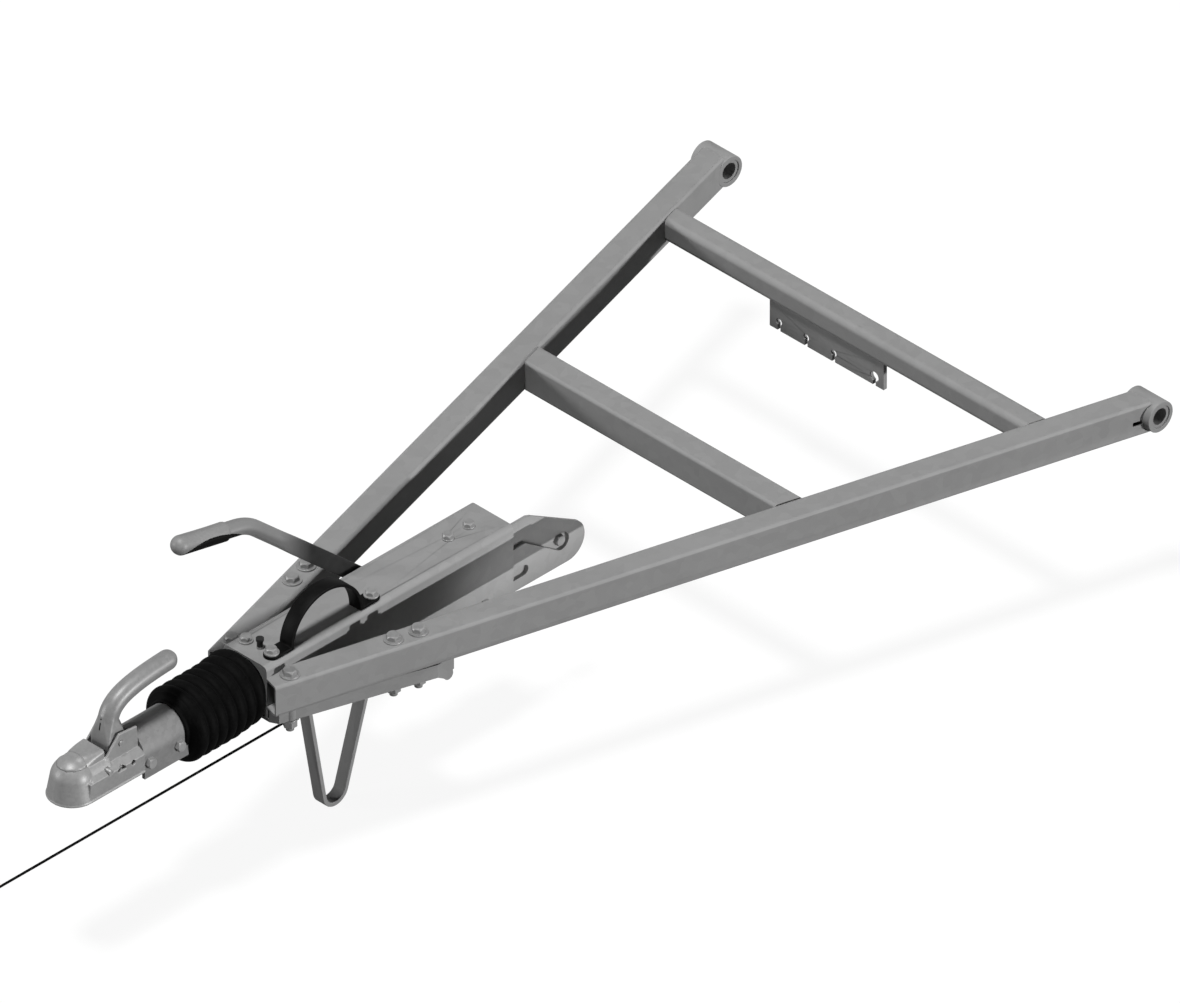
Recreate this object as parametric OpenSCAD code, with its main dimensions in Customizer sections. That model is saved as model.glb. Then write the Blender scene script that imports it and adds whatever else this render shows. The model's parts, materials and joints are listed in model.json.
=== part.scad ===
// Braked trailer A-frame drawbar, in millimetres.
// +X points forward to the ball coupling, +Y to the left, +Z up.
// The origin is the middle of the rear eye axis, at the rails' mid height.

/* [Frame] */
// Distance between the middles of the two rear eyes
eye_span = 1000; // [900:10:1150]
// Distance from the eye axis to the front face of the housing
frame_len = 1592; // [1500:10:1700]
// Distance from the middle plane to a rail's centre line at the housing front
rail_tip_y = 55; // [53:1:60]
// Width of a rail, seen from above
rail_w = 50; // [45:1:55]
// Height of a rail
rail_h = 60; // [56:1:66]
// Wall of the rail tubes
rail_wall = 4; // [3:0.5:5]
// Outer corner radius of the rail tubes
rail_round = 6; // [5.5:0.5:8]
// Distance from the eye axis to the middle of the front cross tube
front_cross_x = 633; // [560:5:700]
// Width of the front cross tube
front_cross_w = 50; // [40:1:60]
// Distance from the eye axis to the middle of the rear cross tube
rear_cross_x = 182; // [150:2:220]
// Width and height of the rear cross tube
rear_cross_w = 45; // [40:1:50]
// How far the rear cross tube's top lies under the rails' top
rear_cross_drop = 2; // [0:0.5:4]
// Outer corner radius of the rear cross tube
rear_cross_round = 11; // [8:0.5:14]

/* [Rear eyes] */
// Outer diameter of the eye sleeves
eye_od = 57; // [52:0.5:58]
// Length of an eye sleeve
eye_len = 65; // [60:1:80]
// Outer diameter of the bush in an eye
eye_bush_od = 42; // [38:1:46]
// Bore of the bush, for the hinge bolt
eye_bore = 30; // [24:1:34]
// How far the bush lies back from each end of its sleeve
eye_bush_recess = 2.5; // [1:0.5:5]

/* [Brake cable bracket] */
// Thickness of the bracket plate
bracket_t = 8; // [5:1:10]
// How far the plate hangs below the rear cross tube
bracket_drop = 51; // [45:1:60]
// Right end of the plate from the middle plane
bracket_right = 177; // [170:1:190]
// Left end of the plate from the middle plane
bracket_left = 88.5; // [85:0.5:100]
// Distance from the tube's underside to the cable holes
cable_hole_drop = 34; // [28:1:38]
// Diameter of the three brake cable holes
cable_hole_d = 12.5; // [10:0.5:14]
// Diameter of the hole for the brake rod
rod_hole_d = 19; // [16:0.5:22]
// Width of the slots that let the cables in
cable_slot_w = 6; // [4:0.5:8]

/* [Housing] */
// Length of the folded housing
housing_len = 569; // [540:5:600]
// Outer width of the housing
housing_w = 100; // [98:1:104]
// Height of the housing's top above the rails' mid height
housing_top = 52; // [51:0.5:56]
// Sheet thickness of the housing
housing_t = 5; // [4:0.5:6]
// Outer bend radius along the housing's top edges
housing_bend = 10; // [9:0.5:10]
// How far the housing's rear end reaches below the rails' mid height
housing_deep = 87; // [85:1:100]

/* [Lower tray] */
// Length of the tray under the housing
tray_len = 320; // [300:5:330]
// Height of the tray
tray_h = 26; // [22:1:32]
// Sheet thickness of the tray
tray_t = 6; // [4:0.5:7]
// Inset of the tray from the rail's outer face, at the front
tray_inset_front = 12; // [8:1:14]
// Inset of the tray from the rail's outer face, at the rear
tray_inset_rear = 1; // [0.5:0.5:6]

/* [Skid foot] */
// Distance from the housing front to the middle of the foot's round end
foot_back = 195; // [180:5:210]
// Lowest point of the foot below the rails' mid height
foot_depth = 341.5; // [300:5:380]
// Outer radius of the foot's round end
foot_r = 29.5; // [25:0.5:35]
// Thickness of the foot's flat bar
foot_t = 8; // [6:0.5:10]
// Width of the foot's flat bar
foot_w = 25; // [20:1:35]
// Reach of the front leg's top ahead of the round end
foot_reach_front = 74; // [60:1:90]
// Reach of the rear leg's top behind the round end
foot_reach_rear = 107; // [90:1:112]

/* [Top hoop] */
// Distance between the hoop's two bolts
hoop_span = 229; // [221:1:240]
// Inner radius of the hoop's arch
hoop_r = 77; // [70:1:78]
// Thickness of the hoop's flat bar
hoop_t = 6; // [4:0.5:8]
// Width of the hoop's flat bar
hoop_w = 28; // [24:1:29]
// Distance of the hoop from the middle plane
hoop_y = 31; // [30:0.5:34]

/* [Lever bracket] */
// Plate thickness of the pressed bracket
lever_plate_t = 5; // [4:0.5:6]
// How far the bracket reaches behind the housing
lever_plate_reach = 131; // [120:1:140]
// Radius of the bracket's round end
lever_plate_r = 38.5; // [36:0.5:42]
// Depth of the pressed channels
swage_depth = 8; // [6:0.5:9]
// Half width of the upper channel
swage_half = 17; // [14:0.5:19]
// Diameter of the anchor bolt
anchor_bolt_d = 12; // [10:1:14]

/* [Draw tube and damper] */
// Outer diameter of the draw tube
draw_d = 70; // [66:1:71]
// Wall of the draw tube
draw_wall = 8; // [6:0.5:9]
// Height of the draw tube's axis above the rails' mid height
draw_z = 1; // [0:0.5:2]
// Running clearance round the draw tube
draw_fit = 0.05; // [0.02:0.01:0.09]
// Travel of the draw tube when the trailer overruns
overrun_travel = 70; // [60:1:75]
// Length of the front bush
front_bush_len = 82; // [70:1:90]
// Length of the rear bush
rear_bush_len = 40; // [30:1:50]
// Outer diameter of the damper's cylinder
damper_d = 46; // [40:1:48]
// Length of the damper's cylinder
damper_len = 480; // [450:5:495]
// Diameter of the damper's rod
damper_rod_d = 14; // [12:1:18]

/* [Overrun lever] */
// Distance from the lever's pivot to its pushing nose
lever_arm = 73; // [72:0.5:75]
// Distance from the pivot to the brake rod hole
lever_tail = 60; // [50:1:70]
// Radius of the pushing nose
lever_nose = 12; // [10:0.5:13]
// How far the fork plates' knee stands back from the line of the nose
lever_knee_back = 12; // [11:0.5:14]
// Height of the knee above the pivot
lever_knee_z = 46; // [45:0.5:48]
// Thickness of each fork plate
lever_t = 8; // [6:0.5:9]
// Distance between the fork plates
lever_gap = 44; // [42:1:45]

/* [Bellows] */
// Outer radius of the bellows' ribs
bellows_r = 65.5; // [60:0.5:66]
// Radius of the valleys between the ribs
bellows_valley = 59; // [54:0.5:60]
// Wall of the bellows
bellows_wall = 2.5; // [2:0.25:3]
// Number of ribs
bellows_ribs = 7; // [5:1:9]
// Length of the bellows at rest
bellows_len = 170; // [160:1:175]
// Length of a collar at each end of the bellows
collar_len = 14; // [10:1:18]

/* [Coupling] */
// Distance from the housing front to the middle of the ball
ball_reach = 396; // [394:1:410]
// Diameter of the ball that the coupling takes
ball_d = 50; // [49.8:0.1:50.2]
// Outer radius of the dome over the ball
dome_r = 37; // [36:0.5:39]
// Height of the dome's middle above the ball's middle
dome_z = 10; // [8:0.5:12]
// Width of the coupling head
head_w = 85; // [83:0.5:88]
// Depth of the head's rim below the ball's middle
head_rim = 23.5; // [20:0.5:25]
// Height of the head's side walls above the ball's middle
head_shelf = 13; // [11:0.5:15]
// Distance from the ball's middle to the head's rear face
head_back = 126; // [122:1:130]
// Outer width of the tower that carries the handle
tower_w = 55; // [54:0.5:58]
// Thickness of the tower's cheeks
tower_wall = 4; // [3:0.5:4.5]
// Radius of the clamping sleeve behind the head
sleeve_r = 40.5; // [40:0.5:42]
// Length of the clamping sleeve
sleeve_len = 120; // [112:1:124]
// Distance between the two coupling bolts
coupling_bolt_gap = 67; // [60:1:70]
// Depth of the sleeve's flat cheeks below the draw axis
sleeve_drop = 41; // [36:1:44]

/* [Coupling handle] */
// Distance from the ball's middle back to the handle's pivot
handle_back = 85; // [84:0.5:86]
// Height of the handle's pivot above the ball's middle
handle_z = 47; // [46:0.5:48]
// Width of the handle's grip
handle_w = 34; // [30:1:36]
// Width of the handle at its pivot
handle_root_w = 38; // [34:1:42]
// Diameter of the handle's pivot pin and of the jaw's pin
pin_d = 10; // [8:0.5:11]
// Running clearance round each pin
pin_fit = 0.05; // [0.02:0.01:0.09]
// Distance from the ball's middle back to the jaw's pin
jaw_back = 47; // [46:0.5:49]
// Height of the jaw's pin above the ball's middle
jaw_z = 15; // [14:0.5:16]
// Thickness of the locking jaw
jaw_t = 28; // [20:1:36]

/* [Handbrake lever] */
// Distance from the rear bush forward to the lever's pivot
brake_gap = 45; // [35:1:60]
// Height of the pivot above the rails' mid height
brake_z = -10; // [-14:1:-6]
// Distance of the lever from the middle plane
brake_y = 58; // [57.5:0.5:60]
// Distance from the pivot to the bend, along X
brake_reach = 296; // [270:1:310]
// Height of the bend above the pivot
brake_rise = 265; // [240:1:280]
// Distance from the bend to the end of the grip, along X
grip_reach = 161; // [140:1:170]
// Height of the grip's end above the bend
grip_rise = 36; // [25:1:50]
// Diameter of the lever's grip
grip_d = 32; // [28:1:36]
// Diameter of the lever's tube above the flat bar
lever_tube_d = 27; // [24:1:28]
// Thickness of the lever's flat bar
bar_t = 8; // [6:0.5:9]
// Width of the lever's flat bar
bar_w = 28; // [24:1:30]

/* [Fasteners] */
// Diameter of the rail bolts
rail_bolt_d = 14; // [12:1:16]
// Width across the flats of the rail bolts' heads
rail_bolt_af = 22; // [21:0.5:24]
// Diameter of the rail bolts' washers
rail_washer_d = 34; // [30:1:36]
// Diameter of the housing bolts and coupling bolts
bolt_d = 12; // [10:1:12]
// Width across the flats of the housing bolts' heads
bolt_af = 18; // [17:0.5:19]
// Diameter of the housing bolts' washers
washer_d = 26; // [24:0.5:27]
// Thickness of every washer
washer_t = 3; // [2:0.25:3]
// Clearance round a bolt in a plain hole
hole_gap = 0.3; // [0.2:0.05:0.5]
// Clearance between a bolt and its nut's bore
thread_gap = 0.05; // [0.02:0.01:0.1]

/* [Breakaway cable] */
// Diameter of the breakaway cable
cable_d = 4.5; // [4:0.25:5]

/* [Hidden] */
$fn = 64;

zinc = "#969696";
black = "#1a1a1a";
cut = 1;
far = 4000;

// Rails: each runs straight from its eye to the housing front.
rail_angle = atan((eye_span / 2 - rail_tip_y) / frame_len);
rail_slant = cos(rail_angle);
rail_end_gap = 1;
rail_start = sqrt(pow(eye_od / 2, 2) - pow(rail_h / 2 - rail_wall, 2));
weld_gap = 0.2;
rail_slot_len = 20;
rail_slot_h = 8;
rail_slot_drop = 3;

function rail_y(x) = eye_span / 2 - x * tan(rail_angle);
function rail_inner_y(x) = rail_y(x) - rail_w / 2 / rail_slant;
function rail_outer_y(x) = rail_y(x) + rail_w / 2 / rail_slant;
function rail_bolt_y(x) = max(rail_y(x), housing_w / 2 + rail_washer_d / 2 + 1);

// Housing and tray: the housing stands on the tray's floor.
housing_rear = frame_len - housing_len;
tray_bottom = -rail_h / 2 - tray_h;
tray_floor = tray_bottom + tray_t;
tray_rear = frame_len - 2 - tray_len;
tray_front = frame_len - 2;
tray_chamfer = 15;
tray_edge_rear = tray_rear + 37;
rail_bolt_pair = [98, 53];
rail_bolt_inset = 35;
rail_bolt_x = [frame_len - rail_bolt_inset, tray_rear + rail_bolt_pair[0], tray_rear + rail_bolt_pair[1]];
boss_r = 11;
ear_drop = 42;
ear_tip_r = 10;

// Draw tube, bushes and damper.
draw_r = draw_d / 2;
bush_gap = 0.3;
ball_x = frame_len + ball_reach;
head_rear_x = ball_x - head_back;
sleeve_rear_x = head_rear_x - sleeve_len;
bolt_front_x = head_rear_x - 12;
bolt_rear_x = bolt_front_x - coupling_bolt_gap;
coupling_bolt_z = -11;
pivot_x = housing_rear + 67;
pivot_z = -72;
lever_half_swing = asin(overrun_travel / 2 / lever_arm);
lever_play = 1;
draw_rear_x = pivot_x + overrun_travel / 2 + lever_nose + lever_play;
lever_knee = [-lever_knee_back, lever_knee_z];
lever_knee_r = 8;
rear_bush_x = draw_rear_x + 12;
damper_foot_x = housing_rear + 22;
damper_foot_len = 100;
damper_leg_t = 12;
damper_leg_w = 36;
damper_foot_gap = 1.5;
damper_front_x = bolt_rear_x + 16;
damper_rear_x = damper_front_x - damper_len;
damper_wall = 3;
damper_cap = 12;
damper_plug = 50;
piston_gap = 0.1;
piston_len = 15;
spigot_r = 44;
spigot_len = 16;
spigot_wall_r = spigot_r + bush_gap;
collar_t = 3.5;

// Housing bolts: where they stand along X and Y.
front_bolt_x = frame_len - 30;
front_bolt_y = -29;
hoop_bolt_x = front_bolt_x - hoop_span;
rear_bolt_x = [housing_rear + 102, housing_rear + 54];
head_h = 8;
nut_h = 9;
rail_head_h = 9;
rail_nut_h = 12;
bolt_tail = 8;

// Coupling head, jaw and handle, in the frame of the ball's middle.
socket_gap = 0.3;
socket_r = ball_d / 2 + socket_gap;
neck_r = dome_r - 2.5;
tower_top = handle_z + 20;
slot_front = 50;
slot_floor = 20;
lip_h = 3;
lip_out = 1.2;
head_rear_wall = 14;
handle_end_r = handle_w / 2;
jaw_cavity_w = jaw_t + 4;

// Handbrake lever: pivot and bend, in the XZ plane.
brake_x = rear_bush_x + rear_bush_len + brake_gap;
bend_x = brake_x + brake_reach;
bend_z = brake_z + brake_rise;
brake_angle = atan2(brake_rise, brake_reach);
grip_angle = atan2(grip_rise, grip_reach);
grip_start = 52;
brake_tail = 38;

// Breakaway cable: a straight taut run from its guide under the tray.
cable_y = 45;
cable_z = -82;
guide_x = frame_len - 72;
guide_t = 6;
cable_start = guide_x - 6;
cable_len = 718;
cable_route = [for (i = [0 : 9]) [cable_start + cable_len * i / 9, cable_y, cable_z]];

// Puts the children on the left side, or mirrored on the right side.
module on_side(side) {
    if (side > 0) children();
    else mirror([0, 1, 0]) children();
}

// A rectangle with true round corners.
module round_rect(w, h, r) {
    square([w - 2 * r, h], center = true);
    square([w, h - 2 * r], center = true);
    for (i = [-1, 1], j = [-1, 1])
        translate([i * (w / 2 - r), j * (h / 2 - r)]) circle(r = r);
}

// A square tube along +X from the origin, w wide in Y and h high in Z.
module tube_x(len, w, h, r, wall) {
    rotate([90, 0, 90]) linear_extrude(len) difference() {
        round_rect(w, h, r);
        round_rect(w - 2 * wall, h - 2 * wall, max(r - wall, 1));
    }
}

// A cylinder along Y, centred on y.
module cyl_y(x, y, z, r, len) {
    translate([x, y + len / 2, z]) rotate([90, 0, 0]) cylinder(r = r, h = len);
}

// A cylinder along X that starts at x.
module cyl_x(x, y, z, r, len) {
    translate([x, y, z]) rotate([0, 90, 0]) cylinder(r = r, h = len);
}

// Extrudes an outline drawn in X and Z along Y, between y0 and y1.
module plate_y(y0, y1) {
    translate([0, y1, 0]) rotate([90, 0, 0]) linear_extrude(y1 - y0) children();
}

// A slot outline with round ends between two points.
module capsule(p, q, r) {
    d = q - p;
    translate(p) rotate(atan2(d[1], d[0])) translate([0, -r]) square([norm(d), 2 * r]);
    for (c = [p, q]) translate(c) circle(r = r);
}

// A hexagon prism along +Z, af across its flats.
module hex(af, h) {
    cylinder(r = af / 2 / cos(30), h = h, $fn = 6);
}

// A bolt along -Z with its head's underside at z = 0.
module bolt(d, af, head, len) {
    translate([0, 0, -len]) cylinder(r = d / 2, h = len + cut);
    intersection() {
        hex(af, head);
        translate([0, 0, -af / 2]) cylinder(r1 = af * 1.1, r2 = af / 2 - head * 0.1, h = head + af / 2);
    }
}

// A nut along +Z from z = 0.
module nut(d, af, h) {
    difference() {
        hex(af, h);
        translate([0, 0, -cut]) cylinder(r = d / 2 + thread_gap, h = h + 2 * cut);
    }
}

// A washer along +Z from z = 0.
module washer(d, od) {
    difference() {
        cylinder(r = od / 2, h = washer_t);
        translate([0, 0, -cut]) cylinder(r = d / 2 + hole_gap, h = washer_t + 2 * cut);
    }
}

// Joins rings of points, one after another, into one closed solid.
module skin(rings) {
    n = len(rings[0]);
    m = len(rings);
    points = [for (ring = rings) each ring];
    sides = [for (i = [0 : m - 2], j = [0 : n - 1], k = [0, 1])
        k == 0 ? [i * n + j, (i + 1) * n + j, i * n + (j + 1) % n]
               : [i * n + (j + 1) % n, (i + 1) * n + j, (i + 1) * n + (j + 1) % n]];
    caps = [for (j = [1 : n - 2], k = [0, 1])
        k == 0 ? [0, j, j + 1] : [(m - 1) * n, (m - 1) * n + j + 1, (m - 1) * n + j]];
    polyhedron(points = points, faces = concat(sides, caps));
}

// A ring across a path in the XZ plane: half_y wide, half_n high, from round (1) to boxy (0.3).
function ring(p, y, angle, half_y, half_n, soft, count) = [for (i = [0 : count - 1])
    let (t = 360 * i / count,
        a = half_y * sign(cos(t)) * pow(abs(cos(t)), soft),
        b = half_n * sign(sin(t)) * pow(abs(sin(t)), soft))
    [p[0] - b * sin(angle), y + a, p[1] + b * cos(angle)]];

// Frame

module rail(side) {
    outer_y = eye_span / 2;
    on_side(side) difference() {
        translate([0, outer_y, 0]) rotate([0, 0, -rail_angle])
            translate([-rail_w, 0, 0])
                tube_x(frame_len / rail_slant + rail_w + rail_end_gap, rail_w, rail_h, rail_round, rail_wall);
        // rear end, stopped short of the eye and coped round its sleeve
        translate([rail_start - far, 0, -rail_h]) cube([far, far, 2 * rail_h]);
        cyl_y(0, outer_y, 0, eye_od / 2 + weld_gap, 3 * eye_len);
        // inner face, trimmed flat against the housing
        translate([0, housing_w / 2 - far, -rail_h]) cube([far, far, 2 * rail_h]);
        // notch at the rear of the outer wall
        translate([rail_start, outer_y, -rail_slot_drop - rail_slot_h / 2])
            cube([rail_slot_len + eye_od / 4, rail_w, rail_slot_h]);
        for (x = rail_bolt_x) translate([x, rail_bolt_y(x), -rail_h])
            cylinder(r = rail_bolt_d / 2 + hole_gap, h = 2 * rail_h);
    }
}

module between_rails(x0, x1) {
    translate([0, 0, -rail_h]) linear_extrude(2 * rail_h) polygon([
        [x0, -rail_inner_y(x0)], [x1, -rail_inner_y(x1)], [x1, rail_inner_y(x1)], [x0, rail_inner_y(x0)]]);
}

module cross_tube(x, w, h, top, r, wall) {
    intersection() {
        translate([x, eye_span / 2, top - h / 2]) rotate([0, 0, -90]) tube_x(eye_span, w, h, r, wall);
        between_rails(x - w, x + w);
    }
}

module front_cross_tube() {
    color(zinc) cross_tube(front_cross_x, front_cross_w, rail_h, rail_h / 2, rail_round, rail_wall);
}

rear_cross_top = rail_h / 2 - rear_cross_drop;
rear_cross_under = rear_cross_top - rear_cross_w;

module rear_cross_tube() {
    color(zinc) cross_tube(rear_cross_x, rear_cross_w, rear_cross_w, rear_cross_top, rear_cross_round, rail_wall);
}

// The plate hangs from the tube's front half; its top follows the tube's round edge.
cable_hole_y = [-bracket_right + 22, -bracket_right + 85, -bracket_right + 149];
rod_hole_y = bracket_left - 22;

module brake_cable_bracket() {
    front_x = rear_cross_x + rear_cross_w / 2 - 5;
    hole_z = rear_cross_under - cable_hole_drop;
    color(zinc) difference() {
        translate([front_x - bracket_t, -bracket_right, rear_cross_under - bracket_drop])
            cube([bracket_t, bracket_right + bracket_left, bracket_drop + 4]);
        translate([rear_cross_x, eye_span / 2, rear_cross_top - rear_cross_w / 2]) rotate([90, 0, 0])
            linear_extrude(eye_span) round_rect(rear_cross_w, rear_cross_w, rear_cross_round);
        for (y = cable_hole_y) cable_gate(front_x, y, hole_z, cable_hole_d);
        cable_gate(front_x, rod_hole_y, hole_z, rod_hole_d);
    }
}

module cable_gate(x, y, z, d) {
    cyl_x(x - bracket_t - cut, y, z, d / 2, bracket_t + 2 * cut);
    translate([x - bracket_t - cut, y - cable_slot_w / 2, z - bracket_drop])
        cube([bracket_t + 2 * cut, cable_slot_w, bracket_drop]);
}

module eye_sleeve(side) {
    on_side(side) difference() {
        cyl_y(0, eye_span / 2, 0, eye_od / 2, eye_len);
        cyl_y(0, eye_span / 2, 0, eye_bush_od / 2 + thread_gap, eye_len + 2 * cut);
    }
}

module eye_bush(side) {
    on_side(side) difference() {
        cyl_y(0, eye_span / 2, 0, eye_bush_od / 2, eye_len - 2 * eye_bush_recess);
        cyl_y(0, eye_span / 2, 0, eye_bore / 2, eye_len);
    }
}

// Housing and what is bolted to it

module housing_section(inset, r, deep) {
    half = housing_w / 2 - inset;
    top = housing_top - inset;
    difference() {
        translate([0, top - housing_w]) round_rect(2 * half, 2 * housing_w, r);
        translate([-half - cut, -far - deep]) square([2 * half + 2 * cut, far]);
    }
}

module housing() {
    inner_r = housing_bend - housing_t;
    step_x = tray_rear - 8;
    color(zinc) difference() {
        translate([housing_rear, 0, 0]) rotate([90, 0, 90]) linear_extrude(housing_len) difference() {
            housing_section(0, housing_bend, housing_deep);
            housing_section(housing_t, inner_r, housing_deep + cut);
        }
        // the sides are shallower where the tray lies under them
        plate_y(-housing_w, housing_w) polygon([
            [frame_len + cut, tray_floor], [step_x, tray_floor],
            [step_x - 55, -housing_deep - cut], [frame_len + cut, -housing_deep - cut]]);
        for (x = rear_bolt_x) housing_hole(x, 0);
        housing_hole(front_bolt_x, front_bolt_y);
        housing_hole(front_bolt_x, hoop_y);
        housing_hole(hoop_bolt_x, hoop_y);
        translate([front_bolt_x - 2, 2, 0]) cylinder(r = nipple_thread_r + hole_gap, h = far);
        cyl_y(pivot_x, 0, pivot_z, bolt_d / 2 + hole_gap, 2 * housing_w);
        translate([0, -housing_w / 2, 0]) cyl_y(brake_x, 0, brake_z, bolt_d / 2 + hole_gap, 4 * housing_t);
    }
}

module housing_hole(x, y) {
    translate([x, y, 0]) cylinder(r = bolt_d / 2 + hole_gap, h = far);
}

tray_half_front = rail_outer_y(frame_len - 17) - tray_inset_front;
tray_half_rear = rail_outer_y(tray_edge_rear) - tray_inset_rear;

module tray_plan(inset) {
    half_tip = tray_half_front + (tray_half_front - tray_half_rear) * 15 / (frame_len - 17 - tray_edge_rear);
    polygon([for (side = [1, -1]) each (side > 0
        ? [[tray_rear + inset, tray_half_rear - inset], [tray_edge_rear, tray_half_rear - inset],
           [tray_front - inset - tray_chamfer / 2, half_tip - inset], [tray_front - inset, half_tip - tray_chamfer - inset]]
        : [[tray_front - inset, -half_tip + tray_chamfer + inset], [tray_front - inset - tray_chamfer / 2, -half_tip + inset],
           [tray_edge_rear, -tray_half_rear + inset], [tray_rear + inset, -tray_half_rear + inset]])]);
}

module lower_tray() {
    color(zinc) difference() {
        union() {
            translate([0, 0, tray_bottom]) linear_extrude(tray_t) tray_plan(0);
            // side walls up to the rails, and bosses round the bolts
            difference() {
                translate([0, 0, tray_bottom]) linear_extrude(tray_h) tray_plan(0);
                translate([0, 0, tray_floor]) linear_extrude(tray_h) tray_plan(tray_t);
                translate([tray_front - 2 * tray_t, -tray_half_front + tray_chamfer + tray_t, tray_floor])
                    cube([3 * tray_t, 2 * (tray_half_front - tray_chamfer - tray_t), tray_h]);
                translate([tray_rear - cut, -far / 2, tray_floor]) cube([tray_edge_rear - tray_rear + cut, far, tray_h]);
            }
            for (side = [-1, 1], x = rail_bolt_x) translate([x, side * rail_bolt_y(x), tray_bottom])
                cylinder(r = boss_r, h = tray_h);
            for (side = [-1, 1]) on_side(side) plate_y(tray_half_rear - tray_t, tray_half_rear) tray_ear();
        }
        for (side = [-1, 1], x = rail_bolt_x) translate([x, side * rail_bolt_y(x), tray_bottom - cut])
            cylinder(r = rail_bolt_d / 2 + hole_gap, h = tray_h + 2 * cut);
    }
}

module tray_ear() {
    polygon([[tray_edge_rear, -rail_h / 2], [tray_edge_rear, tray_bottom],
        [tray_rear + 18, -rail_h / 2 - ear_drop + 4], [tray_rear + 3, -rail_h / 2 - ear_drop + 14],
        [tray_rear, tray_floor], [tray_rear, -rail_h / 2]]);
    translate([tray_rear + 12, -rail_h / 2 - ear_drop + ear_tip_r]) circle(r = ear_tip_r);
}

// The foot: two straight legs that run tangent into one round end.
function tangent_normal(p, c, r, side) = let (d = p - c, a = atan2(d[1], d[0]) - side * acos(r / norm(d)))
    [cos(a), sin(a)];

module skid_foot() {
    c = [frame_len - foot_back, foot_r - foot_depth];
    front = [c[0] + foot_reach_front, tray_bottom];
    rear = [c[0] - foot_reach_rear, tray_bottom];
    nf = tangent_normal(front, c, foot_r, 1);
    nr = tangent_normal(rear, c, foot_r, -1);
    from = atan2(nf[1], nf[0]);
    to = atan2(nr[1], nr[0]);
    turn = [for (i = [0 : 24]) from + (to - from) * i / 24];
    back = [for (i = [24 : -1 : 0]) turn[i]];
    inner_r = foot_r - foot_t;
    color(zinc) plate_y(-foot_w / 2, foot_w / 2) polygon(concat(
        [front], [for (a = turn) c + foot_r * [cos(a), sin(a)]], [rear],
        [rear - [foot_t / nr[0], 0]], [for (a = back) c + inner_r * [cos(a), sin(a)]], [front - [foot_t / nf[0], 0]]));
}

module top_hoop() {
    middle = (front_bolt_x + hoop_bolt_x) / 2;
    pad = hoop_w / 2 + 1;
    color(black) difference() {
        translate([0, hoop_y, 0]) union() {
            plate_y(-hoop_w / 2, hoop_w / 2) difference() {
                union() {
                    translate([middle, housing_top]) circle(r = hoop_r + hoop_t);
                    translate([hoop_bolt_x, housing_top]) square([front_bolt_x - hoop_bolt_x, hoop_t]);
                }
                translate([middle, housing_top]) circle(r = hoop_r);
                translate([0, housing_top - far]) square([far, far]);
            }
            for (x = [front_bolt_x, hoop_bolt_x]) translate([x, 0, housing_top]) cylinder(r = hoop_w / 2, h = hoop_t);
        }
        housing_hole(front_bolt_x, hoop_y);
        housing_hole(hoop_bolt_x, hoop_y);
    }
}

// Pressed bracket on the left wall: its outline is drawn in X and Z.
plate_c = [housing_rear - lever_plate_reach, -housing_deep + lever_plate_r];
plate_top = [housing_rear - 45, housing_top - 6];
plate_inside = 39;
anchor = [housing_rear - 116, -40];
swage_bend = [housing_rear - 38, 14];
swage_low = [housing_rear - 29, -55];
swage_low_r = 10;

module lever_plate_outline() {
    hull() {
        translate(plate_c) circle(r = lever_plate_r);
        polygon([plate_top, plate_top + [10, 4], [housing_rear, housing_top - 2], [housing_rear, -housing_deep]]);
    }
    translate([housing_rear - cut, -housing_deep])
        square([plate_inside + cut, housing_deep + housing_top - housing_bend - 2]);
}

// A slot outline with faceted round ends between two points.
module channel(p, q, r) {
    hull() for (c = [p, q]) translate(c) circle(r = r);
}

module swages(grow) {
    reach = grow > 0 ? 4 : 20;
    channel(swage_bend, anchor, swage_half + grow);
    channel([housing_rear + reach, swage_bend[1]], swage_bend, swage_half + grow);
    channel([housing_rear + reach, swage_low[1]], swage_low, swage_low_r + grow);
}

module lever_bracket() {
    out_y = housing_w / 2 - housing_t;
    in_y = out_y - lever_plate_t;
    color(zinc) difference() {
        union() {
            plate_y(in_y, out_y) lever_plate_outline();
            plate_y(in_y - swage_depth, in_y + cut) intersection() {
                swages(4);
                translate([0, -housing_deep]) square([housing_rear + 22, far]);
            }
        }
        plate_y(out_y - swage_depth, out_y + cut) intersection() {
            swages(0);
            translate([0, -housing_deep]) square([housing_rear + 18, far]);
        }
        cyl_y(anchor[0], in_y, anchor[1], anchor_bolt_d / 2 + hole_gap, 4 * lever_plate_t + 2 * swage_depth);
    }
}

module anchor_bolt() {
    y = housing_w / 2 - housing_t - swage_depth;
    color(zinc) translate([anchor[0], y, anchor[1]]) rotate([-90, 0, 0])
        bolt(anchor_bolt_d, bolt_af, head_h, lever_plate_t + nut_h + bolt_tail);
}

module anchor_nut() {
    y = housing_w / 2 - housing_t - swage_depth;
    color(zinc) translate([anchor[0], y - lever_plate_t, anchor[1]]) rotate([90, 0, 0])
        nut(anchor_bolt_d, bolt_af, nut_h);
}

module rail_bolts() {
    grip = rail_h + tray_h + 2 * washer_t + rail_nut_h + bolt_tail;
    color(zinc) for (side = [-1, 1], x = rail_bolt_x)
        translate([x, side * rail_bolt_y(x), rail_h / 2 + washer_t]) bolt(rail_bolt_d, rail_bolt_af, rail_head_h, grip);
}

module rail_washers() {
    color(zinc) for (side = [-1, 1], x = rail_bolt_x, z = [rail_h / 2, tray_bottom - washer_t])
        translate([x, side * rail_bolt_y(x), z]) washer(rail_bolt_d, z > 0 ? rail_washer_d : rail_bolt_af + 4);
}

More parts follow.
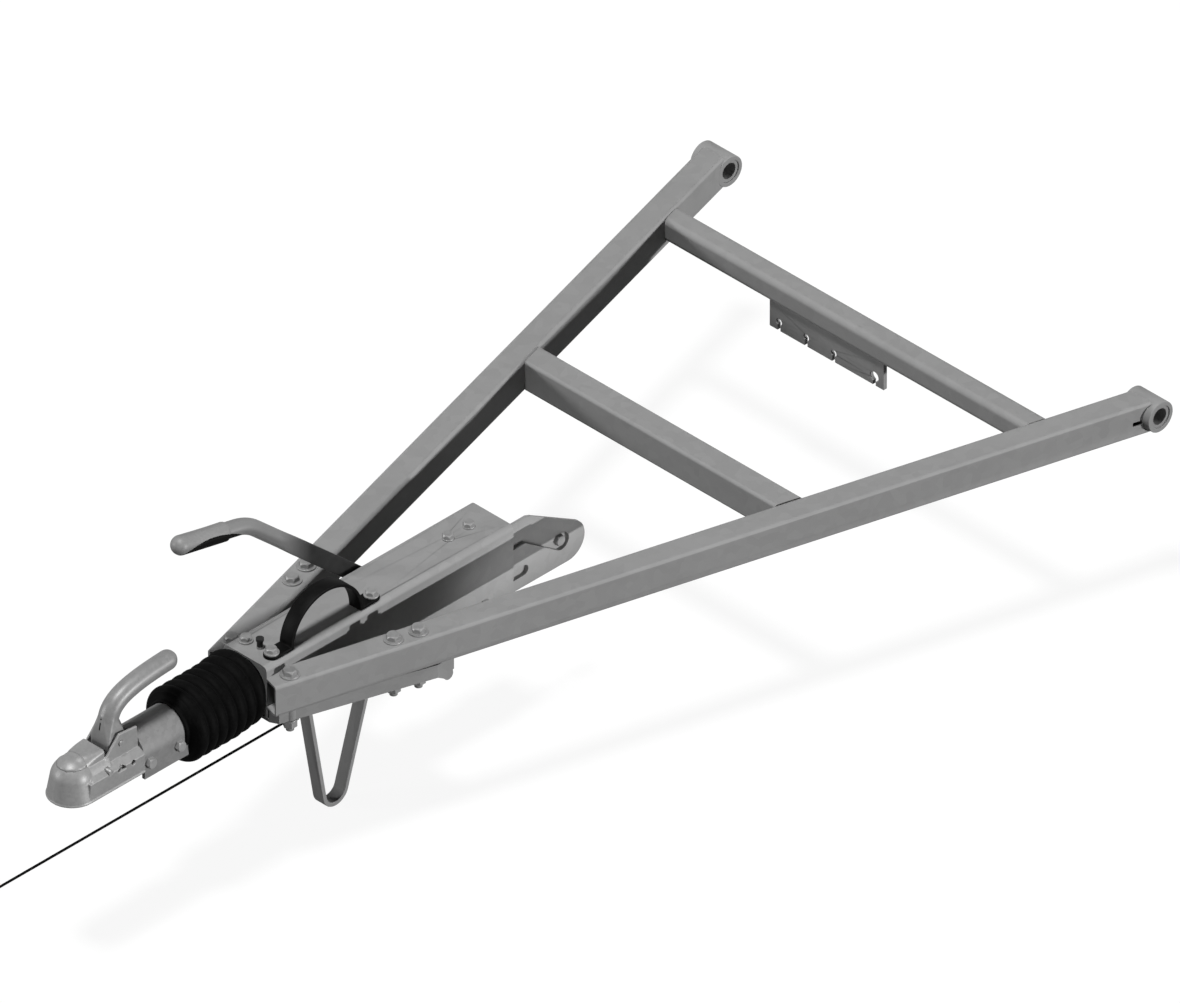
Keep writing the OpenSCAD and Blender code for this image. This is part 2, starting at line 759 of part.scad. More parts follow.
module rail_nuts() {
    color(zinc) for (side = [-1, 1], x = rail_bolt_x)
        translate([x, side * rail_bolt_y(x), tray_bottom - washer_t - rail_nut_h])
            nut(rail_bolt_d, rail_bolt_af, rail_nut_h);
}

// Each housing bolt: its place, and what lies between its washer and the housing.
bush_thread = 15;
housing_bolt_list = [
    [front_bolt_x, front_bolt_y, 0, housing_t + bush_thread],
    [front_bolt_x, hoop_y, hoop_t, housing_t + bush_thread],
    [hoop_bolt_x, hoop_y, hoop_t, housing_t + nut_h + 0.5],
    [rear_bolt_x[0], 0, 0, housing_t + 8], [rear_bolt_x[1], 0, 0, housing_t + 8]];

module housing_bolts() {
    color(zinc) for (b = housing_bolt_list) translate([b[0], b[1], housing_top + b[2] + washer_t])
        bolt(bolt_d, bolt_af, head_h, washer_t + b[2] + b[3]);
}

module housing_washers() {
    color(zinc) for (b = housing_bolt_list) translate([b[0], b[1], housing_top + b[2]])
        washer(bolt_d, b[0] < hoop_bolt_x ? bolt_af + 3 : washer_d);
}

module hoop_nut() {
    color(zinc) translate([hoop_bolt_x, hoop_y, housing_top - housing_t - nut_h]) nut(bolt_d, bolt_af, nut_h);
}

nipple_thread_r = 4;
nipple_r = 4.5;
cap_r = 6.8;
cap_h = 20;

module grease_nipple() {
    color(zinc) translate([front_bolt_x - 2, 2, 0]) {
        translate([0, 0, housing_top - housing_t - 8]) cylinder(r = nipple_thread_r, h = housing_t + 8 + cut);
        translate([0, 0, housing_top]) hex(11, 4);
        translate([0, 0, housing_top + 4]) cylinder(r1 = nipple_r, r2 = 2.5, h = 10);
    }
}

module nipple_cap() {
    color(black) translate([front_bolt_x - 2, 2, housing_top + 4]) difference() {
        union() {
            cylinder(r = cap_r - 1.5, h = cap_h - 4);
            translate([0, 0, cap_h - 9]) cylinder(r = cap_r, h = 5);
        }
        translate([0, 0, -cut]) cylinder(r = nipple_r + thread_gap, h = 12 + cut);
    }
}

// Bushes that carry the draw tube inside the housing

module bush_block(x, len) {
    inner_r = housing_bend - housing_t;
    difference() {
        translate([x, 0, 0]) rotate([90, 0, 90]) linear_extrude(len) housing_section(housing_t, inner_r, housing_w / 2 - 6);
        cyl_x(x - cut, 0, draw_z, draw_r + draw_fit, len + 2 * cut);
    }
}

module front_bush() {
    color(zinc) difference() {
        union() {
            bush_block(frame_len - front_bush_len, front_bush_len);
            difference() {
                cyl_x(frame_len - cut, 0, draw_z, spigot_r, spigot_len + cut);
                cyl_x(frame_len - 2 * cut, 0, draw_z, draw_r + draw_fit, spigot_len + 3 * cut);
            }
        }
        for (y = [front_bolt_y, hoop_y]) translate([front_bolt_x, y, housing_top - housing_t - bush_thread - 1])
            cylinder(r = bolt_d / 2 + thread_gap, h = bush_thread + 2);
        translate([front_bolt_x - 2, 2, draw_z]) cylinder(r = nipple_thread_r + thread_gap, h = far);
    }
}

module rear_bush() {
    color(zinc) bush_block(rear_bush_x, rear_bush_len);
}

// Draw tube and damper

module draw_tube() {
    color(zinc) difference() {
        cyl_x(draw_rear_x, 0, draw_z, draw_r, head_rear_x - draw_rear_x);
        cyl_x(draw_rear_x - cut, 0, draw_z, draw_r - draw_wall, head_rear_x - draw_rear_x + 2 * cut);
        for (x = [bolt_rear_x, bolt_front_x]) cyl_y(x, 0, coupling_bolt_z, bolt_d / 2 + hole_gap, 3 * draw_d);
    }
}

module damper_bracket() {
    under = draw_z + draw_r + damper_foot_gap;
    top = housing_top - housing_t;
    color(zinc) difference() {
        union() {
            translate([damper_foot_x, -damper_leg_w / 2 - 6, under])
                cube([damper_foot_len, damper_leg_w + 12, top - under]);
            translate([damper_foot_x, -damper_leg_w / 2, draw_z])
                cube([damper_leg_t, damper_leg_w, top - draw_z - cut]);
            cyl_x(damper_foot_x, 0, draw_z, damper_leg_w / 2, damper_leg_t);
        }
        cyl_x(damper_foot_x - cut, 0, draw_z, damper_rod_d / 2 + thread_gap, damper_leg_t + 2 * cut);
        for (x = rear_bolt_x) translate([x, 0, 0]) cylinder(r = bolt_d / 2 + thread_gap, h = far);
    }
}

module damper_rod() {
    rod_end = damper_rear_x + damper_cap + piston_len + 2;
    color("#b8b8b8") union() {
        cyl_x(damper_foot_x - 3, 0, draw_z, damper_rod_d / 2, rod_end - damper_foot_x + 3);
        cyl_x(rod_end - piston_len, 0, draw_z, damper_d / 2 - damper_wall - piston_gap, piston_len);
        cyl_x(damper_foot_x + damper_leg_t, 0, draw_z, damper_rod_d / 2 + 4, 6);
        cyl_x(damper_foot_x - 8, 0, draw_z, damper_rod_d / 2 + 4, 8);
    }
}

module damper_cylinder() {
    color(black) difference() {
        cyl_x(damper_rear_x, 0, draw_z, damper_d / 2, damper_len);
        cyl_x(damper_rear_x + damper_cap, 0, draw_z, damper_d / 2 - damper_wall, damper_len - damper_cap - damper_plug);
        cyl_x(damper_rear_x - cut, 0, draw_z, damper_rod_d / 2 + draw_fit, damper_cap + 2 * cut);
        cyl_y(bolt_rear_x, 0, coupling_bolt_z, bolt_d / 2 + hole_gap, 2 * damper_d);
    }
}

// Overrun lever: drawn upright about its pivot, then tilted to its rest angle. Its fork plates bend
// back at a knee, so that the draw tube's lower edge passes in front of them.

module overrun_lever() {
    fork_y = lever_gap / 2;
    hub_half = housing_w / 2 - housing_t - bush_gap;
    color(zinc) translate([pivot_x, 0, pivot_z]) rotate([0, lever_half_swing, 0]) difference() {
        union() {
            for (side = [-1, 1]) on_side(side) plate_y(fork_y, fork_y + lever_t) {
                hull() {
                    translate([0, lever_arm]) circle(r = lever_nose);
                    translate(lever_knee) circle(r = lever_knee_r);
                }
                hull() {
                    translate(lever_knee) circle(r = lever_knee_r);
                    circle(r = lever_nose);
                }
                circle(r = lever_nose + 4);
            }
            cyl_y(0, 0, 0, lever_nose + 1, 2 * hub_half);
            plate_y(-lever_t, lever_t) capsule([0, 0], [0, -lever_tail], lever_nose);
        }
        cyl_y(0, 0, 0, bolt_d / 2 + pin_fit, 3 * housing_w);
        cyl_y(0, 0, -lever_tail, 5, 4 * lever_t);
    }
}

module lever_pivot_bolt() {
    color(zinc) translate([pivot_x, housing_w / 2, pivot_z]) rotate([-90, 0, 0])
        bolt(bolt_d, bolt_af, head_h, housing_w + nut_h + 3);
}

module lever_pivot_nut() {
    color(zinc) translate([pivot_x, -housing_w / 2, pivot_z]) rotate([90, 0, 0]) nut(bolt_d, bolt_af, nut_h);
}

// Bellows: a soft boot, round about the draw axis; each rib swells and drops to a narrow valley
rib_steps = 6;
bellows_from = frame_len;
bellows_waist = bellows_len - 2 * collar_len;

function rib_r(s) = bellows_valley + (bellows_r - bellows_valley) * pow(abs(sin(180 * s)), 0.6);

function bellows_line(inset) = [for (i = [0 : bellows_ribs * rib_steps])
    [rib_r(i / rib_steps) - inset, collar_len + bellows_waist * i / (bellows_ribs * rib_steps)]];

module bellows() {
    rear_in = spigot_wall_r;
    front_in = sleeve_r + bush_gap;
    outer = bellows_line(0);
    inner = bellows_line(bellows_wall);
    back = [for (i = [len(inner) - 1 : -1 : 0]) inner[i]];
    color(black) translate([bellows_from, 0, draw_z]) rotate([0, 90, 0]) rotate_extrude() polygon(concat(
        [[rear_in, 0], [rear_in + collar_t, 0], [rear_in + collar_t, collar_len - 3]],
        outer,
        [[front_in + collar_t, bellows_len - collar_len + 3], [front_in + collar_t, bellows_len],
         [front_in, bellows_len], [front_in, bellows_len - collar_len]],
        back,
        [[rear_in, collar_len]]));
}

// Coupling: sleeve, head, jaw and handle

module coupling_sleeve() {
    flat_from = bellows_from + bellows_len;
    color(zinc) difference() {
        union() {
            cyl_x(sleeve_rear_x, 0, draw_z, sleeve_r, sleeve_len);
            translate([flat_from, -sleeve_r, draw_z - sleeve_drop])
                cube([head_rear_x - flat_from, 2 * sleeve_r, sleeve_drop]);
        }
        cyl_x(sleeve_rear_x - cut, 0, draw_z, draw_r + thread_gap, sleeve_len + 2 * cut);
        translate([sleeve_rear_x - cut, -draw_r + 1, draw_z - 2 * sleeve_drop])
            cube([sleeve_len + 2 * cut, 2 * draw_r - 2, 2 * sleeve_drop - 10]);
        for (x = [bolt_rear_x, bolt_front_x]) cyl_y(x, 0, coupling_bolt_z, bolt_d / 2 + hole_gap, 3 * draw_d);
    }
}

module coupling_bolts() {
    color(zinc) for (x = [bolt_rear_x, bolt_front_x]) translate([x, sleeve_r, coupling_bolt_z]) rotate([-90, 0, 0])
        bolt(bolt_d, bolt_af, head_h, 2 * sleeve_r + nut_h + 3);
}

module coupling_nuts() {
    color(zinc) for (x = [bolt_rear_x, bolt_front_x]) translate([x, -sleeve_r, coupling_bolt_z]) rotate([90, 0, 0])
        nut(bolt_d, bolt_af, nut_h);
}

module head_plan(grow) {
    circle(r = head_w / 2 + grow);
    translate([-head_back, -head_w / 2 - grow]) square([head_back, head_w + 2 * grow]);
}

module coupling_body() {
    half = head_w / 2;
    tower_half = tower_w / 2;
    shelf_top = head_shelf + half - tower_half - 6;
    slot_half = tower_half - tower_wall;
    cavity_back = head_back - head_rear_wall;
    color(zinc) translate([ball_x, 0, 0]) difference() {
        union() {
            translate([0, 0, -head_rim]) linear_extrude(lip_h) head_plan(lip_out);
            intersection() {
                translate([0, 0, -head_rim]) linear_extrude(head_rim + head_shelf) head_plan(0);
                union() {
                    translate([0, 0, -head_rim]) cylinder(r1 = half + 1, r2 = dome_r, h = head_rim + head_shelf);
                    translate([-head_back, -half, -head_rim]) cube([head_back, 2 * half, head_rim + head_shelf]);
                }
            }
            intersection() {
                translate([0, 0, dome_z]) sphere(r = dome_r);
                translate([-dome_r, -dome_r, 0]) cube(2 * dome_r);
            }
            cyl_x(-slot_front - 8, 0, dome_z, neck_r, slot_front + 8);
            // the shelf slopes up from the side walls to the tower
            translate([-head_back, 0, 0]) rotate([90, 0, 90]) linear_extrude(head_back - 8) polygon([
                [-half, head_shelf], [half, head_shelf], [tower_half, shelf_top], [-tower_half, shelf_top]]);
            plate_y(-tower_half, tower_half) polygon([
                [-head_back, head_shelf - 5], [-head_back + 4, tower_top - 4], [-handle_back + 4, tower_top],
                [-slot_front + 4, neck_r - 5], [-slot_front + 20, head_shelf - 5]]);
        }
        // socket for the ball, flared at the rim
        sphere(r = socket_r);
        translate([0, 0, -head_rim - cut]) cylinder(r = socket_r, h = head_rim + cut);
        translate([0, 0, -head_rim - cut]) cylinder(r1 = socket_r + 6, r2 = socket_r, h = 8);
        // room for the jaw, open below
        translate([-cavity_back, -jaw_cavity_w / 2, -head_rim - cut])
            cube([cavity_back - 18, jaw_cavity_w, head_rim + jaw_z + pin_d / 2 + 6.5 + cut]);
        // slot for the handle, open above and behind
        translate([-head_back - cut, -slot_half, slot_floor])
            cube([head_back - slot_front + cut, 2 * slot_half, tower_top]);
        cyl_y(-handle_back, 0, handle_z, pin_d / 2 + thread_gap, 2 * head_w);
        cyl_y(-jaw_back, 0, jaw_z, pin_d / 2 + thread_gap, 2 * head_w);
        // small openings in the side walls
        for (side = [-1, 1]) on_side(side) {
            difference() {
                cyl_y(-73, half, 6, 9, 16);
                translate([-90, half - 20, 6 - 20]) cube([40, 40, 20]);
            }
            cyl_y(-99, half, 9, 4, 16);
        }
    }
}

module locking_jaw() {
    color(zinc) translate([ball_x, 0, 0]) difference() {
        plate_y(-jaw_t / 2, jaw_t / 2) difference() {
            union() {
                translate([-jaw_back, jaw_z]) circle(r = pin_d / 2 + 5);
                polygon([[-jaw_back - 10, jaw_z], [-jaw_back - 9, jaw_z - 20], [-jaw_back + 4, -head_rim + 4],
                    [-17, -head_rim + 4], [-17, jaw_z - 8], [-jaw_back + 10, jaw_z]]);
                capsule([-jaw_back, jaw_z], [-jaw_back - 18, jaw_z - 12], 7);
            }
            circle(r = socket_r + 0.4);
        }
        cyl_y(-jaw_back, 0, jaw_z, pin_d / 2 + pin_fit, 2 * head_w);
    }
}

module jaw_pin() {
    color(zinc) translate([ball_x, 0, 0]) cyl_y(-jaw_back, 0, jaw_z, pin_d / 2, head_w + 3);
}

module handle_pin() {
    color(zinc) translate([ball_x, 0, 0]) cyl_y(-handle_back, 0, handle_z, pin_d / 2, tower_w + 4);
}

// The handle's grip follows one curve, given by four guide points in X and Z.
grip_guide = [[-62, 74], [-66, 112], [-105, 123], [-218, 133]];
handle_stations = 14;

function bezier(g, t) = pow(1 - t, 3) * g[0] + 3 * t * pow(1 - t, 2) * g[1]
    + 3 * t * t * (1 - t) * g[2] + pow(t, 3) * g[3];
function bezier_dir(g, t) = pow(1 - t, 2) * (g[1] - g[0]) + 2 * t * (1 - t) * (g[2] - g[1]) + t * t * (g[3] - g[2]);

module handle_grip(inset) {
    half = handle_w / 2 - inset;
    skin([for (i = [0 : handle_stations])
        let (t = i / handle_stations, p = bezier(grip_guide, t), d = bezier_dir(grip_guide, t))
        ring(p, 0, atan2(d[1], d[0]), half, half, 0.85, 16)]);
}

module coupling_handle() {
    end = bezier(grip_guide, 1);
    root_half = handle_root_w / 2;
    // the root's outline, measured from its pin
    root = [[28, -11], [28, 5], [30, 17], [44, 31], [25, 49], [1, 45], [-13, 19], [-18, 3], [-18, -9],
        [-11, -16], [19, -16]];
    color(zinc) translate([ball_x, 0, 0]) difference() {
        union() {
            handle_grip(0);
            translate([end[0], 0, end[1]]) sphere(r = handle_end_r - 0.3);
            plate_y(-root_half, root_half) translate([-handle_back, handle_z]) polygon(root);
        }
        cyl_y(-handle_back, 0, handle_z, pin_d / 2 + pin_fit, 2 * head_w);
    }
}

// Handbrake lever: a flat bar that turns into a tube, then bends forward

module handbrake_lever() {
    along = norm([brake_reach, brake_rise]);
    path = [[0, bar_t / 2, bar_w / 2, 0.3], [0.5, bar_t / 2, bar_w / 2, 0.3],
        [0.6, lever_tube_d * 0.32, lever_tube_d * 0.5, 0.6], [0.7, lever_tube_d / 2, lever_tube_d / 2, 1],
        [0.93, lever_tube_d / 2, lever_tube_d / 2, 1]];
    bend = [[0, 0.15], [0.35, 0.35], [0.65, 0.65], [1, 0.85]];
    y = -brake_y;
    ax = cos(brake_angle);
    az = sin(brake_angle);
    gx = cos(grip_angle);
    gz = sin(grip_angle);
    tip = grip_start + 10;
    color(black) difference() {
        union() {
            skin(concat(
                [for (s = path) ring([brake_x + along * s[0] * ax, brake_z + along * s[0] * az], y, brake_angle,
                    s[1], s[2], s[3], 16)],
                [for (b = bend) let (a = brake_angle + (grip_angle - brake_angle) * b[1],
                        r = 28, m = b[0])
                    ring([bend_x - r * (1 - m) * (1 - m) * ax + r * m * m * gx,
                          bend_z - r * (1 - m) * (1 - m) * az + r * m * m * gz], y, a,
                        lever_tube_d / 2, lever_tube_d / 2, 1, 16)],
                [ring([bend_x + tip * gx, bend_z + tip * gz], y, grip_angle, lever_tube_d / 2, lever_tube_d / 2, 1, 16)]));
            plate_y(y - bar_t / 2, y + bar_t / 2) {
                translate([brake_x, brake_z]) circle(r = bar_w / 2);
                capsule([brake_x, brake_z], [brake_x - brake_tail * cos(70), brake_z - brake_tail * sin(70)], bar_w / 2 - 2);
            }
        }
        cyl_y(brake_x, y, brake_z, bolt_d / 2 + pin_fit, 4 * bar_t);
        cyl_y(brake_x - brake_tail * cos(70), y, brake_z - brake_tail * sin(70), 5, 4 * bar_t);
    }
}

module handbrake_grip() {
    len_grip = norm([grip_reach, grip_rise]);
    from = grip_start;
    r = grip_d / 2;
    color(zinc) translate([bend_x, -brake_y, bend_z]) rotate([0, 90 - grip_angle, 0]) difference() {
        union() {
            translate([0, 0, from]) cylinder(r = r, h = len_grip - from - r);
            translate([0, 0, len_grip - r]) sphere(r = r);
        }
        translate([0, 0, from - cut]) cylinder(r = lever_tube_d / 2 + thread_gap, h = 10 + cut);
    }
}

module brake_spacer() {
    gap = brake_y - bar_t / 2 - housing_w / 2;
    color(zinc) difference() {
        cyl_y(brake_x, -housing_w / 2 - gap / 2, brake_z, bolt_d / 2 + 5, gap - 0.1);
        cyl_y(brake_x, -housing_w / 2, brake_z, bolt_d / 2 + thread_gap, 4 * housing_t);
    }
}

module brake_pivot_bolt() {
    y = -brake_y - bar_t / 2 - 0.2;
    color(zinc) translate([brake_x, y, brake_z]) rotate([90, 0, 0])
        bolt(bolt_d, bolt_af, head_h, brake_y + bar_t / 2 - housing_w / 2 + housing_t + nut_h + 1);
}

module brake_pivot_nut() {
    color(zinc) translate([brake_x, -housing_w / 2 + housing_t, brake_z]) rotate([-90, 0, 0]) nut(bolt_d, bolt_af, nut_h);
}

// Breakaway cable: guide eye under the tray, straight cable, snap clip at its front end

module cable_guide() {
    r = 8;
    color(zinc) difference() {
        translate([guide_x, 0, 0]) rotate([90, 0, 90]) linear_extrude(guide_t) {
            translate([cable_y, cable_z]) circle(r = r);
            translate([cable_y - r, cable_z]) square([2 * r, tray_bottom - cable_z]);
        }
        cyl_x(guide_x - cut, cable_y, cable_z, cable_d / 2 + 0.5, guide_t + 2 * cut);
    }
}

module breakaway_cable() {
    color(black) skin([for (p = cable_route) [for (i = [0 : 7])
        [p[0], p[1] + cable_d / 2 * cos(45 * i), p[2] + cable_d / 2 * sin(45 * i)]]]);
}

module cable_clip() {
    start = cable_route[len(cable_route) - 1][0];
    loop = 60;
    r = 12;
    wire = 3;
    color(zinc) translate([start, cable_y, cable_z]) union() {
        cyl_x(0, 0, 0, 5, 18);
        translate([18 + r - 2, 0, 0]) rotate([90, 0, 0]) difference() {
            translate([0, 0, -wire]) linear_extrude(2 * wire) capsule([0, 0], [loop - 2 * r, 0], r + wire);
            translate([0, 0, -wire - cut]) linear_extrude(2 * wire + 2 * cut) capsule([0, 0], [loop - 2 * r, 0], r - wire);
        }
    }
}

color(zinc) rail(1);  // rail_left
color(zinc) rail(-1);  // rail_right
front_cross_tube();
rear_cross_tube();
brake_cable_bracket();
color(zinc) eye_sleeve(1);  // eye_sleeve_left
color(zinc) eye_sleeve(-1);  // eye_sleeve_right
color(zinc) eye_bush(1);  // eye_bush_left
color(zinc) eye_bush(-1);  // eye_bush_right
housing();
lower_tray();
skid_foot();
top_hoop();
lever_bracket();
anchor_bolt();
anchor_nut();
rail_bolts();
rail_washers();
rail_nuts();
housing_bolts();
housing_washers();
hoop_nut();
grease_nipple();
nipple_cap();
front_bush();
rear_bush();
damper_bracket();
damper_rod();
damper_cylinder();
overrun_lever();
lever_pivot_bolt();
lever_pivot_nut();
draw_tube();
bellows();
coupling_sleeve();
coupling_body();
coupling_bolts();
coupling_nuts();
coupling_handle();
handle_pin();
locking_jaw();
jaw_pin();
handbrake_lever();
handbrake_grip();
brake_pivot_bolt();
brake_pivot_nut();
brake_spacer();
cable_guide();
breakaway_cable();
cable_clip();
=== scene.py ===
# %% [markdown]
# # A trailer's A-frame drawbar
# This lesson dresses a drawbar that comes from CAD: two rails, cross tubes, an overrun
# housing, a rubber bellows, a ball coupling and a handbrake lever. The CAD solids arrive as
# a fixed frame. Most keep their shape and get a finish here. The soft or hand-shaped pieces,
# such as the bellows, the grip and the cable, are modelled again with smoother forms.

# %% Load the frame
import json
import math

import bmesh
import bpy
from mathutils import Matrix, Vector


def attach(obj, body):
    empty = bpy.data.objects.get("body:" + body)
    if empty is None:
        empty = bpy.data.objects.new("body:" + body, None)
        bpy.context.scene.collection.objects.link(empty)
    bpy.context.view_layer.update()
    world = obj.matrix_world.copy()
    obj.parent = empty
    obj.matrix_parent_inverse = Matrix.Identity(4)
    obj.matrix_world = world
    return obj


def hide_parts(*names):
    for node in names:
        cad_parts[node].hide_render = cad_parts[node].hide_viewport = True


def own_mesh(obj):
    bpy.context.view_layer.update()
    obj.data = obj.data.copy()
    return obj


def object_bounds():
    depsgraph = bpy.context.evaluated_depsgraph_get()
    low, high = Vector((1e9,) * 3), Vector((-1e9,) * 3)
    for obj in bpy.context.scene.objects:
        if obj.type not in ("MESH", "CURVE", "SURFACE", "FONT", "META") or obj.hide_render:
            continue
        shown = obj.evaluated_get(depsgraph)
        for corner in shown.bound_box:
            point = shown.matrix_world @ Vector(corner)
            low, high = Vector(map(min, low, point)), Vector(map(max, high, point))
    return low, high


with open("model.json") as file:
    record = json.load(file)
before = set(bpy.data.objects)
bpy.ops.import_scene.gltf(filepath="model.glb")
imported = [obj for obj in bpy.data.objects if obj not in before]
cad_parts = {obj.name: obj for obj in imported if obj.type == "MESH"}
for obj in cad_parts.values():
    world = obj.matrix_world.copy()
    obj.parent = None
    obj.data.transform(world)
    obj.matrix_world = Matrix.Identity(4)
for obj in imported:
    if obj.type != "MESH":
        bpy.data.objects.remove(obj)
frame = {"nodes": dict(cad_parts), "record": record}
nodes = frame["nodes"]
cad_low, cad_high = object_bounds()
MM = 0.001
print("CAD nodes:", len(nodes), "box:", list(cad_low), list(cad_high))

# %% [markdown]
# ## Camera
# The drawbar is seen from above one corner, and edges that are parallel on it stay parallel
# in the picture. An orthographic camera could draw that. A very long lens far away gives
# almost the same lines, and it still fits other views by its distance, so it is used here.

# %% Camera
scene = bpy.context.scene
VIEW_WIDTH = 1.937
LENS = 1400.0
SENSOR = 36.0
CAMERA_DISTANCE = VIEW_WIDTH * LENS / SENSOR
LOOK_AT = Vector((0.8343, 0.0382, 0.0))
TOWARDS = Vector((1.0, 1.0, 1.0)).normalized()
camera_data = bpy.data.cameras.new("camera")
camera_data.lens = LENS
camera_data.sensor_width = SENSOR
camera_data.clip_start = 1.0
camera_data.clip_end = 300.0
camera = bpy.data.objects.new("camera", camera_data)
camera.location = LOOK_AT + TOWARDS * CAMERA_DISTANCE
camera.rotation_mode = "QUATERNION"
camera.rotation_quaternion = (-TOWARDS).to_track_quat("-Z", "Y")
scene.collection.objects.link(camera)
scene.camera = camera
scene.view_settings.view_transform = "Standard"
print("camera distance:", round(CAMERA_DISTANCE, 1), "m")

# %% [markdown]
# ## Node helpers
# A finish in Blender is a small graph of nodes, and each node takes several lines to add.
# Two helpers keep the graphs short to read. One adds a node and fills its inputs, and the
# other makes a named group that several finishes can share.


# %% Node helpers
def add_node(tree, kind, inputs=None, **settings):
    """Adds a node, sets its properties and its inputs. An input is a value or another socket."""
    node = tree.nodes.new(kind)
    for key, value in settings.items():
        setattr(node, key, value)
    for key, value in (inputs or {}).items():
        socket = node.inputs[key]
        if isinstance(value, bpy.types.NodeSocket):
            tree.links.new(value, socket)
        else:
            socket.default_value = value
    return node


def new_group(name, numbers, output):
    """A shader node group with number inputs and one number output."""
    tree = bpy.data.node_groups.new(name, "ShaderNodeTree")
    for label, value in numbers.items():
        socket = tree.interface.new_socket(
            name=label, in_out="INPUT", socket_type="NodeSocketFloat"
        )
        socket.default_value = value
    tree.interface.new_socket(name=output, in_out="OUTPUT", socket_type="NodeSocketFloat")
    print("group", name, "takes", list(numbers), "and gives", output)
    return tree, tree.nodes.new("NodeGroupInput"), tree.nodes.new("NodeGroupOutput")


print("helpers: add_node, new_group")

# %% [markdown]
# ## Zinc clouds
# The zinc on hot-dipped steel freezes in soft clouds with faint crystals. A picture of a
# sheet could be laid on, but it would need unwrapping and would repeat. Smooth noise gives
# the clouds and random cells give the crystals. Both are measured in the object's own space,
# so they run on over every solid.

# %% Zinc clouds
CRYSTAL_SHARE = 0.35
zinc_clouds, clouds_in, clouds_out = new_group(
    "zinc_clouds", {"Clouds per metre": 9.0, "Crystals per metre": 70.0}, "Tone"
)
place = add_node(zinc_clouds, "ShaderNodeTexCoord")
cloud = add_node(
    zinc_clouds,
    "ShaderNodeTexNoise",
    {
        "Vector": place.outputs["Object"],
        "Scale": clouds_in.outputs["Clouds per metre"],
        "Detail": 4.0,
    },
)
crystal = add_node(
    zinc_clouds,
    "ShaderNodeTexVoronoi",
    {"Vector": place.outputs["Object"], "Scale": clouds_in.outputs["Crystals per metre"]},
)
crystal_tone = add_node(
    zinc_clouds, "ShaderNodeSeparateColor", {"Color": crystal.outputs["Color"]}
)
tone = add_node(
    zinc_clouds,
    "ShaderNodeMix",
    {"Factor": CRYSTAL_SHARE, "A": cloud.outputs["Fac"], "B": crystal_tone.outputs["Red"]},
    data_type="FLOAT",
)
zinc_clouds.links.new(tone.outputs["Result"], clouds_out.inputs["Tone"])
print("crystals make up", CRYSTAL_SHARE, "of the tone")

# %% [markdown]
# ## Fine grain
# No coat is as smooth as glass: zinc, paint and rubber all have a fine grain that breaks up
# their gloss. Real dents in the mesh would need millions of faces. Noise that only tilts
# the shading does the same at this size.

# %% Fine grain
fine_grain, grain_in, grain_out = new_group(
    "fine_grain", {"Grains per metre": 900.0, "Detail": 3.0}, "Height"
)
place = add_node(fine_grain, "ShaderNodeTexCoord")
grain_noise = add_node(
    fine_grain,
    "ShaderNodeTexNoise",
    {
        "Vector": place.outputs["Object"],
        "Scale": grain_in.outputs["Grains per metre"],
        "Detail": grain_in.outputs["Detail"],
    },
)
fine_grain.links.new(grain_noise.outputs["Fac"], grain_out.inputs["Height"])
print("grain nodes:", len(fine_grain.nodes))

# %% [markdown]
# ## Rubbed edges
# Edges are knocked and rubbed first, so they shine a little. They could be painted by hand.
# The Bevel node finds them instead: near an edge its softened normal turns away from the
# true one, and that angle is the mask.

# %% Rubbed edges
rubbed_edges, edges_in, edges_out = new_group(
    "rubbed_edges", {"Width": 0.0012, "Strength": 6.0}, "Mask"
)
soft_normal = add_node(
    rubbed_edges, "ShaderNodeBevel", {"Radius": edges_in.outputs["Width"]}, samples=4
)
true_normal = add_node(rubbed_edges, "ShaderNodeNewGeometry")
facing = add_node(
    rubbed_edges,
    "ShaderNodeVectorMath",
    {0: soft_normal.outputs["Normal"], 1: true_normal.outputs["Normal"]},
    operation="DOT_PRODUCT",
)
away = add_node(
    rubbed_edges, "ShaderNodeMath", {0: 1.0, 1: facing.outputs["Value"]}, operation="SUBTRACT"
)
edge_mask = add_node(
    rubbed_edges,
    "ShaderNodeMath",
    {0: away.outputs["Value"], 1: edges_in.outputs["Strength"]},
    operation="MULTIPLY",
    use_clamp=True,
)
rubbed_edges.links.new(edge_mask.outputs["Value"], edges_out.inputs["Mask"])
print("edge nodes:", len(rubbed_edges.nodes))

# %% [markdown]
# ## Road dust
# A drawbar gathers dust in loose patches. A flat veil of grey would look like fog. Here the
# peaks of a slow noise carry the dust, and most of the surface stays nearly clean.

# %% Road dust
DUST_FROM, DUST_FULL = 0.45, 0.75
road_dust, dust_in, dust_out = new_group(
    "road_dust", {"Patches per metre": 6.0, "Amount": 0.2}, "Mask"
)
place = add_node(road_dust, "ShaderNodeTexCoord")
patches = add_node(
    road_dust,
    "ShaderNodeTexNoise",
    {
        "Vector": place.outputs["Object"],
        "Scale": dust_in.outputs["Patches per metre"],
        "Detail": 6.0,
    },
)
thin = add_node(
    road_dust,
    "ShaderNodeMapRange",
    {"Value": patches.outputs["Fac"], "From Min": DUST_FROM, "From Max": DUST_FULL},
)
dusty = add_node(
    road_dust,
    "ShaderNodeMath",
    {0: thin.outputs["Result"], 1: dust_in.outputs["Amount"]},
    operation="MULTIPLY",
)
road_dust.links.new(dusty.outputs["Value"], dust_out.inputs["Mask"])
print("dust shows where the noise is above", DUST_FROM)

# %% [markdown]
# ## Greys and their mixes
# The drawbar has no colour but greys, and dust that is a shade warmer. Each grey could be
# written as three numbers, but one number and a little warmth are easier to compare. A mask
# then lays one colour over another, as a coat does.

